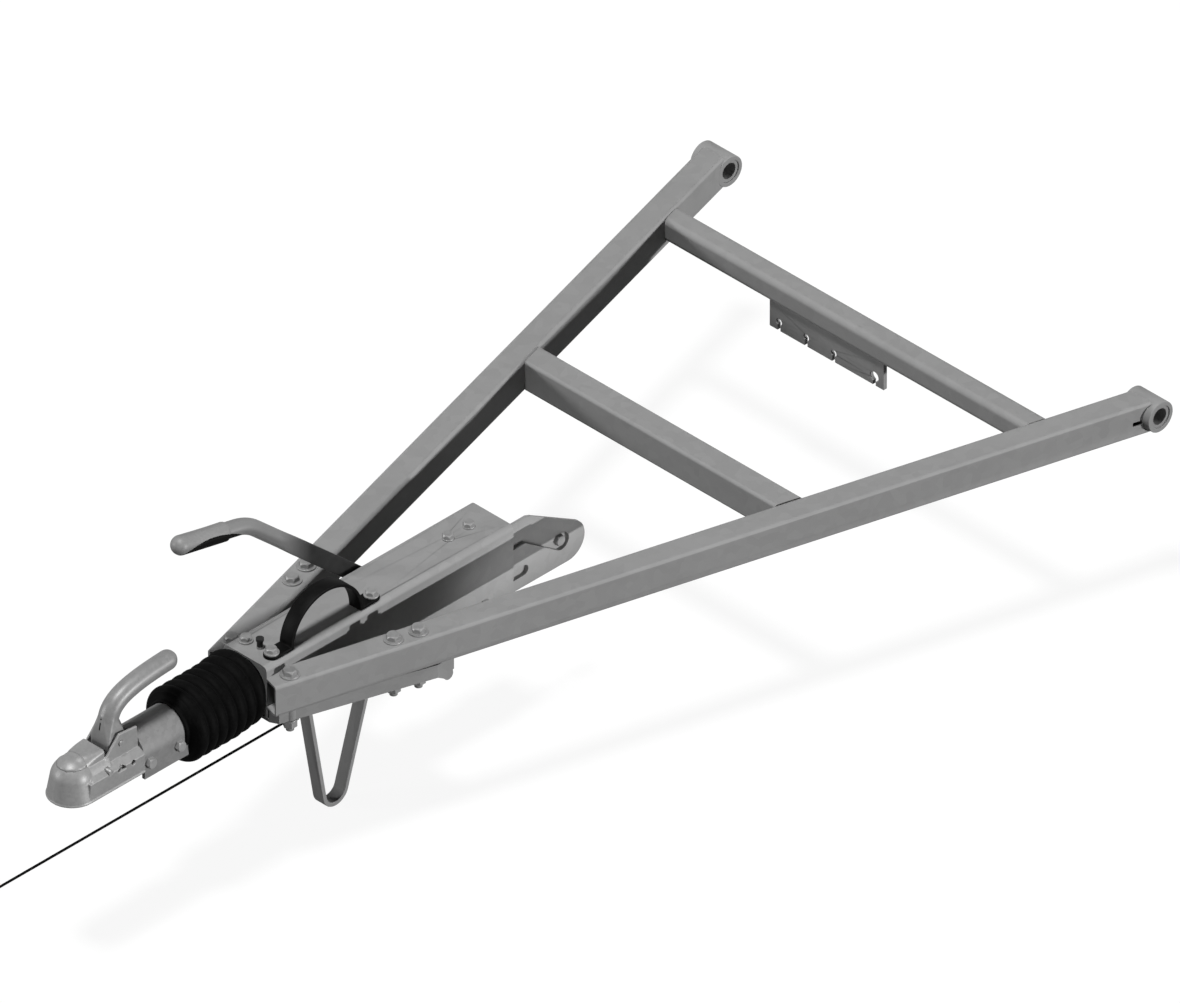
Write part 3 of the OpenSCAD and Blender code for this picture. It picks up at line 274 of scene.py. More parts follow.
# %% Greys and their mixes
DUST_WARMTH = 0.03


def mix_colour(tree, factor, first, second):
    """Lays the second colour over the first where the factor is 1."""
    mixed = add_node(
        tree, "ShaderNodeMix", {"Factor": factor, 6: first, 7: second}, data_type="RGBA"
    )
    return mixed.outputs[2]


def grey(value, warm=0.0):
    """A grey of one value. warm shifts it a little from blue to red."""
    return (value * (1 + warm), value, value * (1 - warm), 1.0)


print("dust at 0.2:", grey(0.2, DUST_WARMTH))

# %% [markdown]
# ## How a finish is built
# Zinc, paint and rubber wear in the same order: a base tone with clouds, then rubbed edges,
# then dust. Each could have its own graph, but one function keeps them alike, and its
# numbers say what each real coat is like. The base tone runs from dark to light with the
# clouds, and so does the roughness, a little.

# %% How a finish is built
TONE_LOW, TONE_HIGH = 0.3, 0.7
ROUGH_SWING = 0.06
GRAIN_STRENGTH = 0.6


def finish(
    name, dark, light, edge, dust, dust_amount, rough, metallic, grain, clouds, crystals,
    specular=0.5,
):
    """dark to dust are grey tones, grain is in millimetres, clouds and crystals per metre."""
    material = bpy.data.materials.new(name)
    material.use_nodes = True
    tree = material.node_tree
    shader = tree.nodes["Principled BSDF"]
    zinc = add_node(
        tree,
        "ShaderNodeGroup",
        {"Clouds per metre": clouds, "Crystals per metre": crystals},
        node_tree=zinc_clouds,
    )
    spread = add_node(
        tree,
        "ShaderNodeMapRange",
        {"Value": zinc.outputs["Tone"], "From Min": TONE_LOW, "From Max": TONE_HIGH},
    )
    colour = mix_colour(tree, spread.outputs["Result"], grey(dark), grey(light))
    rubbed = add_node(tree, "ShaderNodeGroup", node_tree=rubbed_edges)
    colour = mix_colour(tree, rubbed.outputs["Mask"], colour, grey(edge))
    dirt = add_node(tree, "ShaderNodeGroup", {"Amount": dust_amount}, node_tree=road_dust)
    colour = mix_colour(tree, dirt.outputs["Mask"], colour, grey(dust, DUST_WARMTH))
    tree.links.new(colour, shader.inputs["Base Color"])
    roughness = add_node(
        tree,
        "ShaderNodeMapRange",
        {
            "Value": zinc.outputs["Tone"],
            "To Min": rough - ROUGH_SWING,
            "To Max": rough + ROUGH_SWING,
        },
    )
    tree.links.new(roughness.outputs["Result"], shader.inputs["Roughness"])
    shader.inputs["Metallic"].default_value = metallic
    shader.inputs["Specular IOR Level"].default_value = specular
    height = add_node(tree, "ShaderNodeGroup", node_tree=fine_grain)
    bump = add_node(
        tree,
        "ShaderNodeBump",
        {
            "Height": height.outputs["Height"],
            "Distance": grain * MM,
            "Strength": GRAIN_STRENGTH,
        },
    )
    tree.links.new(bump.outputs["Normal"], shader.inputs["Normal"])
    return material


print("shared groups:", [group.name for group in bpy.data.node_groups])

# %% [markdown]
# ## Zinc finishes
# The frame is hot-dip galvanised, which is matt and even. Bolts and nuts are plated, so they
# are smoother and catch the light. The coupling is cast and plated, its handle is a shade
# darker, and the drawn sleeve behind it is the darkest. They are close relatives, so only
# their numbers differ.

# %% Zinc finishes
galvanised = finish(
    "galvanised", dark=0.262, light=0.288, edge=0.285, dust=0.22, dust_amount=0.10,
    rough=0.58, metallic=0.0, grain=0.12, clouds=7.0, crystals=60.0, specular=0.25,
)
bright_zinc = finish(
    "bright_zinc", dark=0.27, light=0.33, edge=0.42, dust=0.2, dust_amount=0.08,
    rough=0.46, metallic=0.5, grain=0.05, clouds=14.0, crystals=160.0,
)
drawn_zinc = finish(
    "drawn_zinc", dark=0.17, light=0.21, edge=0.32, dust=0.16, dust_amount=0.08,
    rough=0.62, metallic=0.15, grain=0.05, clouds=14.0, crystals=160.0,
)
cast_zinc = finish(
    "cast_zinc", dark=0.265, light=0.30, edge=0.39, dust=0.22, dust_amount=0.08,
    rough=0.44, metallic=0.15, grain=0.1, clouds=16.0, crystals=200.0, specular=0.4,
)
handle_zinc = finish(
    "handle_zinc", dark=0.225, light=0.26, edge=0.34, dust=0.19, dust_amount=0.08,
    rough=0.44, metallic=0.15, grain=0.1, clouds=16.0, crystals=200.0, specular=0.4,
)
zinc_finishes = (galvanised, bright_zinc, drawn_zinc, cast_zinc, handle_zinc)
print("zinc finishes:", [material.name for material in zinc_finishes])

# %% [markdown]
# ## Dark finishes and the grip
# Painted steel, rubber and plastic are all nearly black, and differ in gloss and grain more
# than in colour. Their base tones stay just above zero, as no real black is perfect. The
# grip of the handbrake is a light grey sleeve.

# %% Dark finishes and the grip
black_paint = finish(
    "black_paint", dark=0.002, light=0.004, edge=0.012, dust=0.008, dust_amount=0.15,
    rough=0.5, metallic=0.0, grain=0.08, clouds=12.0, crystals=120.0, specular=0.06,
)
rubber = finish(
    "rubber", dark=0.002, light=0.004, edge=0.006, dust=0.006, dust_amount=0.12,
    rough=0.6, metallic=0.0, grain=0.1, clouds=20.0, crystals=220.0, specular=0.03,
)
plastic = finish(
    "plastic", dark=0.006, light=0.010, edge=0.02, dust=0.015, dust_amount=0.15,
    rough=0.45, metallic=0.0, grain=0.1, clouds=20.0, crystals=220.0, specular=0.35,
)
grip_grey = finish(
    "grip_grey", dark=0.235, light=0.265, edge=0.32, dust=0.2, dust_amount=0.1,
    rough=0.5, metallic=0.1, grain=0.08, clouds=20.0, crystals=260.0, specular=0.25,
)
# The lever's near-black base is painted reflection. Below, it turns to its own light grey towards
# the hand.
lever_steel = finish(
    "lever_steel", dark=0.010, light=0.016, edge=0.06, dust=0.02, dust_amount=0.15,
    rough=0.36, metallic=0.3, grain=0.08, clouds=12.0, crystals=120.0,
)
other_finishes = (black_paint, rubber, plastic, grip_grey, lever_steel)
print("other finishes:", [material.name for material in other_finishes])

# %% [markdown]
# ## The lever's painted reflection
# The lever is dark where it is a flat bar and light grey towards the hand. The near-black of
# the bar is painted reflection: it stands in for the dark surroundings that the plated bar
# reflects, and the light grey is the tube's own tone. Two pieces with two finishes would
# show a hard line between them. A mask that rises along X blends the tones in one finish.


# %% The lever's painted reflection
def paint_reflection_along_x(material, x_dark, x_light, light):
    """Makes a dark finish light towards one end, between two places along X in metres. The dark
    end is painted reflection.
    """
    tree = material.node_tree
    shader = tree.nodes["Principled BSDF"]
    colour = shader.inputs["Base Color"].links[0].from_socket
    place = add_node(tree, "ShaderNodeTexCoord")
    axis = add_node(tree, "ShaderNodeSeparateXYZ", {"Vector": place.outputs["Object"]})
    rise = add_node(
        tree,
        "ShaderNodeMapRange",
        {"Value": axis.outputs["X"], "From Min": x_dark, "From Max": x_light},
    )
    faded = mix_colour(tree, rise.outputs["Result"], colour, grey(light))
    tree.links.new(faded, shader.inputs["Base Color"])


# Between these places the painted reflection of the bar gives way to the tube's own grey.
FADE_FROM, FADE_TO, FADE_TONE = 1.385, 1.465, 0.25
paint_reflection_along_x(lever_steel, FADE_FROM, FADE_TO, FADE_TONE)
print("the lever turns light between x =", FADE_FROM, "and", FADE_TO, "m")

# %% [markdown]
# ## Dressing the CAD solids
# Every CAD solid names the material slot that it belongs to. A table from slot to finish
# dresses them all at once, and only the coupling's casting and sleeve get a finish of their
# own. Setting each solid by hand would work too, but a new solid would be forgotten.

# %% Dressing the CAD solids
slot_finish = {
    "zinc": galvanised,
    "zinc_bright": bright_zinc,
    "black_steel": black_paint,
    "rubber": rubber,
    "plastic": plastic,
    "cable": rubber,
    "grip_grey": grip_grey,
}
node_slot = {part["node"]: part["material_slot"] for part in frame["record"]["subparts"]}
for name, node in nodes.items():
    node.data.materials.clear()
    node.data.materials.append(slot_finish[node_slot[name]])
nodes["coupling_body"].data.materials[0] = cast_zinc
nodes["coupling_sleeve"].data.materials[0] = drawn_zinc
print("dressed:", len(node_slot), "nodes with", len(set(node_slot.values())), "slots")

# %% [markdown]
# ## Soft edges on the CAD solids
# A folded sheet or a sawn bar never has a knife edge. The rounding could be drawn in CAD, but
# it would make the solids heavy. The solids come as triangles with doubled points, so each
# gets a weld, and then a narrow bevel on its sharp edges only. These are modifiers, so the
# CAD mesh itself stays as it was.

# %% Soft edges on the CAD solids
EDGE_WIDTH = {
    "housing": 0.7, "lower_tray": 1.0, "skid_foot": 1.0, "top_hoop": 0.9,
    "lever_bracket": 0.9, "brake_cable_bracket": 0.7, "cable_guide": 0.6,
    "eye_sleeve_left": 0.8, "eye_sleeve_right": 0.8, "eye_bush_left": 0.6,
    "eye_bush_right": 0.6, "coupling_sleeve": 0.7, "rail_left": 0.4, "rail_right": 0.4,
    "rail_bolts": 0.4, "rail_washers": 0.4, "rail_nuts": 0.4, "housing_bolts": 0.4,
    "housing_washers": 0.4, "coupling_bolts": 0.4, "coupling_nuts": 0.4,
    "overrun_lever": 0.8, "locking_jaw": 0.8, "handle_pin": 0.4, "jaw_pin": 0.4,
}
WELD_DISTANCE = 0.00001
SHARP_ANGLE = math.radians(40)
for name, width in EDGE_WIDTH.items():
    weld = nodes[name].modifiers.new("weld", "WELD")
    weld.merge_threshold = WELD_DISTANCE
    bevel = nodes[name].modifiers.new("soft_edge", "BEVEL")
    bevel.width = width * MM
    bevel.segments = 2
    bevel.limit_method = "ANGLE"
    bevel.angle_limit = SHARP_ANGLE
    bevel.use_clamp_overlap = True
    bevel.harden_normals = False
print("softened:", len(EDGE_WIDTH), "nodes")

# %% [markdown]
# ## Breakaway cable
# A thin dark cable pulls the brake on if the trailer comes loose. It runs taut from a guide
# under the left rail to a clip that hooks onto the car, just outside the picture. A mesh tube
# would do, but a curve with a round bevel is simpler: its own line is the cable's centre. The
# cable's dark coat takes the same finish as the bellows.


# %% Breakaway cable
def ride_on(obj, body, slot, *replaced):
    """Fixes a new piece to a body and hides the CAD nodes it stands for. slot is not used."""
    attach(obj, body)
    if replaced:
        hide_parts(*replaced)


CABLE_START, CABLE_LENGTH, CABLE_Y, CABLE_Z, CABLE_D = 1514, 718, 45, -82, 4.5
CABLE_POINTS = 10
line = bpy.data.curves.new("cable_line", "CURVE")
line.dimensions = "3D"
line.bevel_depth = CABLE_D / 2 * MM
line.bevel_resolution = 6
line.use_fill_caps = True
spline = line.splines.new("POLY")
spline.points.add(CABLE_POINTS - 1)
for i, point in enumerate(spline.points):
    x = CABLE_START + CABLE_LENGTH * i / (CABLE_POINTS - 1)
    point.co = (x * MM, CABLE_Y * MM, CABLE_Z * MM, 1)
cable = bpy.data.objects.new("cable_run", line)
line.materials.append(rubber)
scene.collection.objects.link(cable)
ride_on(cable, "frame", "cable", "breakaway_cable")
print("cable:", CABLE_LENGTH, "mm")

# %% [markdown]
# ## Skins from rings
# Most new pieces are tubes of one kind or another: a ring of points that moves along a path
# and changes its size. Blender's curves can sweep a profile too, but they can't change its
# shape on the way. So one helper makes a mesh object, and another joins rings of points
# into a closed skin.


# %% Skins from rings
def piece(name, points, faces, finish_used, smooth=True):
    """A mesh object in the scene, from points in metres."""
    mesh = bpy.data.meshes.new(name)
    mesh.from_pydata([tuple(p) for p in points], [], faces)
    mesh.validate()
    mesh.update()
    if smooth:
        mesh.shade_smooth()
    mesh.materials.append(finish_used)
    obj = bpy.data.objects.new(name, mesh)
    scene.collection.objects.link(obj)
    return obj


def skin(name, rings, finish_used, closed=False):
    """Joins equal rings. closed joins the last one to the first, else both ends are capped."""
    count, total = len(rings[0]), len(rings)
    points = [p for ring in rings for p in ring]
    faces = []
    for i in range(total if closed else total - 1):
        a, b = i * count, (i + 1) % total * count
        for j in range(count):
            k = (j + 1) % count
            faces.append((a + j, a + k, b + k, b + j))
    if not closed:
        faces.append(tuple(reversed(range(count))))
        faces.append(tuple(range((total - 1) * count, total * count)))
    obj = piece(name, points, faces, finish_used)
    bm = bmesh.new()
    bm.from_mesh(obj.data)
    bmesh.ops.recalc_face_normals(bm, faces=bm.faces)
    bm.to_mesh(obj.data)
    bm.free()
    return obj


print("helpers: piece, skin")

# %% [markdown]
# ## Sections across a path
# A round tube is a circle at each place on its path, and a flat bar is a flattened one. A
# superellipse covers both: one number, soft, leads from a boxy section to a round one. So the
# same function can serve the clip, the handle, the lever and its grip.


# %% Sections across a path
def section(centre, angle, half_y, half_n, soft=1.0, y=0.0, count=32):
    """A ring across a path in the XZ plane, in millimetres. soft below 1 makes it boxier."""
    ring = []
    for i in range(count):
        t = 2 * math.pi * i / count
        a = half_y * math.copysign(abs(math.cos(t)) ** soft, math.cos(t))
        b = half_n * math.copysign(abs(math.sin(t)) ** soft, math.sin(t))
        x, z = centre[0] - b * math.sin(angle), centre[1] + b * math.cos(angle)
        ring.append((x * MM, (y + a) * MM, z * MM))
    return ring


print("points in a section:", len(section((0, 0), 0, 1, 1)))

# %% [markdown]
# ## Cable clip
# The clip is a wire bent to a long loop. A torus could be stretched, but its wire would turn
# oval. A round section that is swept round a slot shape keeps its thickness.

# %% Cable clip
CLIP_REAR, CLIP_RUN, CLIP_R, WIRE_R = 2260, 36, 12, 3
CLIP_STEPS = 48
WIRE_SIDES = 16


def arc(centre, radius, start, sweep, steps):
    """Points (x, z) on part of a circle, in millimetres and radians."""
    angles = [start + sweep * i / steps for i in range(steps + 1)]
    return [(centre[0] + radius * math.cos(a), centre[1] + radius * math.sin(a)) for a in angles]


loop = arc((CLIP_REAR, CABLE_Z), CLIP_R, math.pi / 2, math.pi, CLIP_STEPS)
loop += arc((CLIP_REAR + CLIP_RUN, CABLE_Z), CLIP_R, -math.pi / 2, math.pi, CLIP_STEPS)
rings = []
for i, p in enumerate(loop):
    before, after = loop[i - 1], loop[(i + 1) % len(loop)]
    turn = math.atan2(after[1] - before[1], after[0] - before[0])
    rings.append(section(p, turn, WIRE_R, WIRE_R, y=CABLE_Y, count=WIRE_SIDES))
clip = skin("clip_loop", rings, bright_zinc, closed=True)
ride_on(clip, "frame", "zinc_bright", "cable_clip")
print("clip loop:", len(loop), "rings")

# %% [markdown]
# ## Ferrule
# A short pressed tube, the ferrule, joins the cable to its clip. Like the bellows below, it
# is a turned form, so a profile is swept round an axis. The Screw modifier does that as well,
# but a plain function shows each point.


# %% Ferrule
def lathe_x(name, profile, centre, finish_used, steps=96):
    """Turns a closed profile of (x, radius) in millimetres round an axis along X."""
    rings = [
        [
            (x * MM, centre[0] * MM + r * MM * math.cos(a), centre[1] * MM + r * MM * math.sin(a))
            for x, r in profile
        ]
        for a in (2 * math.pi * i / steps for i in range(steps))
    ]
    return skin(name, rings, finish_used, closed=True)


FERRULE = [(0, 0.01), (0, 4.2), (1, 5), (12, 5), (17, 4.4), (18, 3), (18, 0.01)]
FERRULE_SIDES = 32
ferrule_profile = [(CABLE_START + CABLE_LENGTH + x, r) for x, r in FERRULE]
ferrule = lathe_x(
    "clip_ferrule", ferrule_profile, (CABLE_Y, CABLE_Z), bright_zinc, FERRULE_SIDES
)
ride_on(ferrule, "frame", "zinc_bright", "cable_clip")
print("ferrule:", FERRULE[-1][0], "mm long")

# %% [markdown]
# ## Bellows
# The rubber bellows keeps dirt off the draw tube. Its seven ribs are round and fat with sharp
# valleys, and a plain collar holds it at each end. A torus for each rib would leave open
# seams, so it is one turned profile: the outside runs forward and the inside runs back, and
# the wall has its real thickness. Each row of a collar gives a place along it and a height.


# %% Bellows profile
def ease(low, high, x):
    """Rises smoothly from 0 at low to 1 at high."""
    t = min(max((x - low) / (high - low), 0), 1)
    return t * t * (3 - 2 * t)


BELLOWS_X, BELLOWS_LENGTH, DRAW_Z = 1592, 170, 1
RIBS, RIB_R, VALLEY_R, WALL = 7, 68, 61.5, 2.5
RIB_FULLNESS, RIB_STEPS = 0.6, 14
FIRST_VALLEY, LAST_VALLEY = 14, 166
REAR_R, FRONT_R = 44.3, 40.8
REAR_COLLAR = [
    (0, 0), (0, 2.9), (0.6, 3.5), (3.5, 3.5), (4.2, 2.7), (8.8, 2.7), (9.5, 3.5), (12, 3.8),
    (13.2, 5.5),
]
FRONT_COLLAR = [
    (1.5, 16.7), (1.8, 4.5), (9, 4.5), (11.2, 3.5), (12, 2.1), (12, 0), (-1, 0),
]


def rib_radius(share):
    """The outside radius at a share of one rib's length, from valley to valley."""
    return VALLEY_R + (RIB_R - VALLEY_R) * abs(math.sin(math.pi * share)) ** RIB_FULLNESS


waist = LAST_VALLEY - FIRST_VALLEY
outside = [
    (FIRST_VALLEY + waist * i / (RIBS * RIB_STEPS), rib_radius(i / RIB_STEPS))
    for i in range(RIBS * RIB_STEPS + 1)
]
profile = [(x, REAR_R + height) for x, height in REAR_COLLAR] + outside
profile += [(LAST_VALLEY + x, FRONT_R + height) for x, height in FRONT_COLLAR]
profile += [(x, r - WALL) for x, r in reversed(outside)] + [(FIRST_VALLEY, REAR_R)]
profile = [(BELLOWS_X + x, r) for x, r in profile]
print("bellows profile:", len(profile), "points")

# %% [markdown]
# The soft rubber hangs a little in the middle. Cloth physics could find that, but a smooth
# drop of each point is enough for so small a sag.

# %% Bellows
SAG = 6.5
SAG_FROM, SAG_FULL = 0.06, 0.45
SAG_LEAVES, SAG_GONE = 0.975, 0.99
bellows = lathe_x("bellows_boot", profile, (0, DRAW_Z), rubber)
for vertex in bellows.data.vertices:
    share = (vertex.co.x / MM - BELLOWS_X) / BELLOWS_LENGTH
    held = 1 - ease(SAG_LEAVES, SAG_GONE, share)
    vertex.co.z -= SAG * MM * ease(SAG_FROM, SAG_FULL, share) * held
ride_on(bellows, "frame", "rubber", "bellows")
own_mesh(bellows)
print("bellows:", len(bellows.data.vertices), "points")

# %% [markdown]
# ## Melting pieces together
# A casting has soft corners, and its forms flow into each other. Boolean joints leave hard
# seams. A voxel remesh wraps overlapping meshes in one even skin instead, and a few rounds
# of smoothing soften the seams. A loose copy of a CAD solid can be melted in as well.


# %% Melting pieces together
def melt(name, parts, voxel, rounds, finish_used):
    """Joins overlapping closed meshes into one and smooths it. voxel is in millimetres."""
    joined = bmesh.new()
    for part in parts:
        joined.from_mesh(part.data)
        bpy.data.objects.remove(part)
    mesh = bpy.data.meshes.new(name)
    joined.to_mesh(mesh)
    joined.free()
    obj = bpy.data.objects.new(name, mesh)
    scene.collection.objects.link(obj)
    remesh = obj.modifiers.new("remesh", "REMESH")
    remesh.mode = "VOXEL"
    remesh.voxel_size = voxel * MM
    smooth = obj.modifiers.new("smooth", "SMOOTH")
    smooth.factor = 0.5
    smooth.iterations = rounds
    bpy.context.view_layer.update()
    evaluated = obj.evaluated_get(bpy.context.evaluated_depsgraph_get())
    melted = bpy.data.meshes.new_from_object(evaluated)
    obj.modifiers.clear()
    obj.data = melted
    melted.name = name
    melted.materials.clear()
    melted.materials.append(finish_used)
    melted.shade_smooth()
    return obj


def world_copy(node, name):
    """A loose copy of a CAD node's mesh, in the frame's own coordinates."""
    mesh = node.data.copy()
    mesh.transform(node.matrix_world)
    obj = bpy.data.objects.new(name, mesh)
    scene.collection.objects.link(obj)
    return obj


print("helpers: melt, world_copy")

# %% [markdown]
# ## Coupling head
# The head is a casting over the tow ball. Its CAD solid has the right sizes but hard corners.
# A shoulder that rises from the dome to the handle's slot is laid over a copy of it, and
# both are melted into one skin. The voxels are small, so the thin rim and the small holes
# stay. Each row of the shoulder gives its place from the ball, half width, top and edge.

# %% Coupling head
BALL_X = 1988
SHOULDER = [
    (-50, 25.5, 50, 5), (-40, 25.5, 50, 7), (-28, 25.5, 50, 10), (-16, 25.5, 49.2, 14),
    (-6, 25, 47.8, 18), (4, 23, 45.6, 20), (12, 19.5, 42.5, 19), (18, 15, 39, 15),
]
SHOULDER_FOOT = 20
EDGE_STEPS = 6
HEAD_VOXEL, HEAD_ROUNDS = 1.15, 4


def shoulder_ring(x, half, top, edge):
    """A ring across the shoulder at x, flat below, with both upper edges rounded."""
    turns = [math.pi / 2 * i / EDGE_STEPS for i in range(EDGE_STEPS + 1)]
    bend = [(edge * (1 - math.cos(t)), edge * (1 - math.sin(t))) for t in turns]
    left = [(-half + across, top - down) for across, down in bend]
    right = [(half - across, top - down) for across, down in reversed(bend)]
    outline = [(-half, SHOULDER_FOOT)] + left + right + [(half, SHOULDER_FOOT)]
    return [((BALL_X + x) * MM, y * MM, z * MM) for y, z in outline]


shoulder = skin("shoulder", [shoulder_ring(*row) for row in SHOULDER], cast_zinc)
head_copy = world_copy(nodes["coupling_body"], "head_copy")
head = melt("coupling_head", [head_copy, shoulder], HEAD_VOXEL, HEAD_ROUNDS, cast_zinc)
ride_on(head, "draw_gear", "zinc", "coupling_body")
print("head:", len(head.data.vertices), "points")

# %% [markdown]
# ## Raised field on the dome
# The dome carries a low raised field with an even, bare face. It could be cut into the
# casting, but the melt would blur its rim. A thin plate is laid on instead. Its outline is
# drawn in plan, and rays cast down at the head find each point, so it follows the dome. Its
# first ring is sunk into the casting, and the others close in towards the middle.


# %% Raised field on the dome
def on_surface(target, start, direction):
    """The place and the normal where a ray meets a mesh, all in metres."""
    hit, place, normal, _ = target.ray_cast(Vector(start), Vector(direction))
    return (place, normal) if hit else (None, None)


FIELD = [
    (-10, 25), (4, 25), (15, 21), (24, 11), (26, 0), (24, -11), (15, -21), (4, -25),
    (-10, -25), (-13, 0),
]
FIELD_CENTRE = 6
FIELD_RISE, FIELD_ROOT = 0.9, -0.6
FIELD_RINGS, FIELD_SPLITS = 7, 4
RAY_TOP = 100


def field_point(x, y, lift):
    """A point above the dome, at x and y from the ball and a lift along the normal."""
    start = ((BALL_X + x) * MM, y * MM, RAY_TOP * MM)
    place, normal = on_surface(head, start, (0, 0, -1))
    return place + normal * lift * MM


outline = []
for i, (a, b) in enumerate(FIELD):
    c, d = FIELD[(i + 1) % len(FIELD)]
    outline += [
        (a + (c - a) * t / FIELD_SPLITS, b + (d - b) * t / FIELD_SPLITS)
        for t in range(FIELD_SPLITS)
    ]
sizes = [1] + [1 - k / FIELD_RINGS for k in range(FIELD_RINGS)]
lifts = [FIELD_ROOT] + [FIELD_RISE] * FIELD_RINGS
rings = [
    [field_point(FIELD_CENTRE + (a - FIELD_CENTRE) * size, b * size, lift) for a, b in outline]
    for size, lift in zip(sizes, lifts)
]
field = skin("dome_shield", rings, cast_zinc)
ride_on(field, "draw_gear", "zinc")
print("raised field:", len(outline), "points round its rim")

# %% [markdown]
# ## Coupling handle
# The handle is one die-cast piece: a broad root on its pin, and a round arm that sweeps up
# and back. A single sweep can't turn from a box to a round arm neatly. Two rough shapes are
# melted together, so that the arm grows out of the root with a soft fillet, as metal does
# in a mould. The arm comes first: a section swept along a smooth curve, with a round end.


# %% The handle's arm
def bezier(guide, t):
    """A point and a direction on a cubic curve given by four guide points."""
    a, b, c, d = (Vector(g) for g in guide)
    s = 1 - t
    point = a * s**3 + b * 3 * t * s * s + c * 3 * t * t * s + d * t**3
    direction = (b - a) * s * s + (c - b) * 2 * t * s + (d - c) * t * t
    return point, math.atan2(direction.y, direction.x)


ARM_GUIDE = [(-82, 64), (-78, 112), (-112, 128), (-218, 133)]
ARM_HALF, ARM_SOFT = 17, 0.9
ARM_STEPS, ARM_END_STEPS = 40, 10
arm_rings = []
for i in range(ARM_STEPS + 1):
    p, turn = bezier(ARM_GUIDE, i / ARM_STEPS)
    arm_rings.append(section((BALL_X + p.x, p.y), turn, ARM_HALF, ARM_HALF, ARM_SOFT))
end, end_turn = bezier(ARM_GUIDE, 1)
for i in range(1, ARM_END_STEPS):
    a = math.pi / 2 * i / ARM_END_STEPS
    reach, size = ARM_HALF * math.sin(a), ARM_HALF * math.cos(a)
    centre = (
        BALL_X + end.x + reach * math.cos(end_turn),
        end.y + reach * math.sin(end_turn),
    )
    arm_rings.append(section(centre, end_turn, size, size, ARM_SOFT))
arm = skin("arm", arm_rings, handle_zinc)
print("arm:", len(arm_rings), "rings")

# %% [markdown]
# The root is a stack of level rings. Each row gives its height, its rear and front from the
# ball, its half width and the size of its cut corners. The corners grow towards the top, so
# the box narrows softly into the arm.

# %% The handle's root
ROOT = [
    (31, -96, -68, 20, 3), (36, -102, -61, 21.5, 3), (52, -103, -61, 21.5, 3),
    (60, -103, -61.5, 20.5, 4), (70, -102, -62.5, 19.5, 7), (79, -100, -64, 18, 9),
    (88, -97, -66, 17, 11), (96, -93, -68, 15.5, 12),
]
HANDLE_VOXEL, HANDLE_ROUNDS = 1.2, 14


def root_ring(z, rear, front, half, cut):
    """A level ring of eight points: a rectangle with cut corners."""
    outline = [
        (rear + cut, -half), (front - cut, -half), (front, -half + cut), (front, half - cut),
        (front - cut, half), (rear + cut, half), (rear, half - cut), (rear, -half + cut),
    ]
    return [((BALL_X + x) * MM, y * MM, z * MM) for x, y in outline]


root = skin("root", [root_ring(*row) for row in ROOT], handle_zinc)
handle = melt("handle_casting", [arm, root], HANDLE_VOXEL, HANDLE_ROUNDS, handle_zinc)
ride_on(handle, "handle", "zinc_bright", "coupling_handle")
print("handle:", len(handle.data.vertices), "points")

# %% [markdown]
# ## Wear window
# A wear window on the front of the handle's root shows as a thin slit with a dot above it.
# Cutting it in would need finer voxels all over. Two small dark beads of painted shade lie
# on the casting instead, standing in for the shadow inside the slit and the dot. Rays cast
# back at the root find their places.

# %% Wear window
SHADE_BEAD_TIP, SHADE_BEAD_RISE, SHADE_BEAD_SIDES = 0.35, 0.45, 12


def shade_bead(name, target, places, direction, radius, finish_used):
    """A thin dark bead of painted shade that follows a target's surface through places in
    millimetres.
    """
    hits = [on_surface(target, [v * MM for v in place], direction)[0] for place in places]
    rings = []
    for i, hit in enumerate(hits):
        before, after = hits[max(i - 1, 0)], hits[min(i + 1, len(hits) - 1)]
        turn = math.atan2(after.z - before.z, after.x - before.x)
        size = radius * (SHADE_BEAD_TIP if i in (0, len(hits) - 1) else 1)
        place = (hit.x / MM, hit.z / MM)
        rings.append(section(place, turn, size, SHADE_BEAD_RISE, 1, hit.y / MM, SHADE_BEAD_SIDES))
    return skin(name, rings, finish_used)


RAY_FRONT = BALL_X + 40
SLIT_FOOT, SLIT_STEP, SLIT_POINTS, SLIT_R = 70, 1.6, 10, 1.3
DOT_FOOT, DOT_STEP, DOT_POINTS, DOT_R = 89, 0.9, 4, 1.5
# The slit and the dot are painted shade, where the real ones are cut into the casting.
slit_places = [(RAY_FRONT, 0, SLIT_FOOT + SLIT_STEP * i) for i in range(SLIT_POINTS)]
slit = shade_bead("wear_slit_shade", handle, slit_places, (-1, 0, 0), SLIT_R, black_paint)
dot_places = [(RAY_FRONT, 0, DOT_FOOT + DOT_STEP * i) for i in range(DOT_POINTS)]
dot = shade_bead("wear_dot_shade", handle, dot_places, (-1, 0, 0), DOT_R, black_paint)
for bead in (slit, dot):
    ride_on(bead, "handle", "black_steel")
print("wear window:", slit.name, dot.name)

# %% [markdown]
# ## Handbrake lever
# The lever starts as a flat bar at its pivot, swells into a round tube, and bends forward to
# the grip. A bevelled curve can't change from flat to round, but rings along its path can.
# A short curve joins the two straight runs at the bend.

# %% The lever's bar
BRAKE = (1235, -10)
BEND = (1531, 255)
LEVER_Y = -58
BAR_T, BAR_W, TUBE_D = 8, 30, 28.5
BAR_STEPS, BAR_SHARE, BAR_SOFT = 56, 0.93, 0.3
SWELL_FROM, SWELL_TO = 0.58, 0.78
BEND_STEPS, BEND_REACH = 12, 28
GRIP_RUN, GRIP_RISE, GRIP_START, GRIP_LAP = 161, 36, 52, 10
TUBE_R = TUBE_D / 2
bar_angle = math.atan2(BEND[1] - BRAKE[1], BEND[0] - BRAKE[0])
bar_length = math.hypot(BEND[0] - BRAKE[0], BEND[1] - BRAKE[1])
grip_angle = math.atan2(GRIP_RISE, GRIP_RUN)


def along(start, angle, distance):
    """The place at a distance from start, at an angle in the XZ plane."""
    return (start[0] + distance * math.cos(angle), start[1] + distance * math.sin(angle))


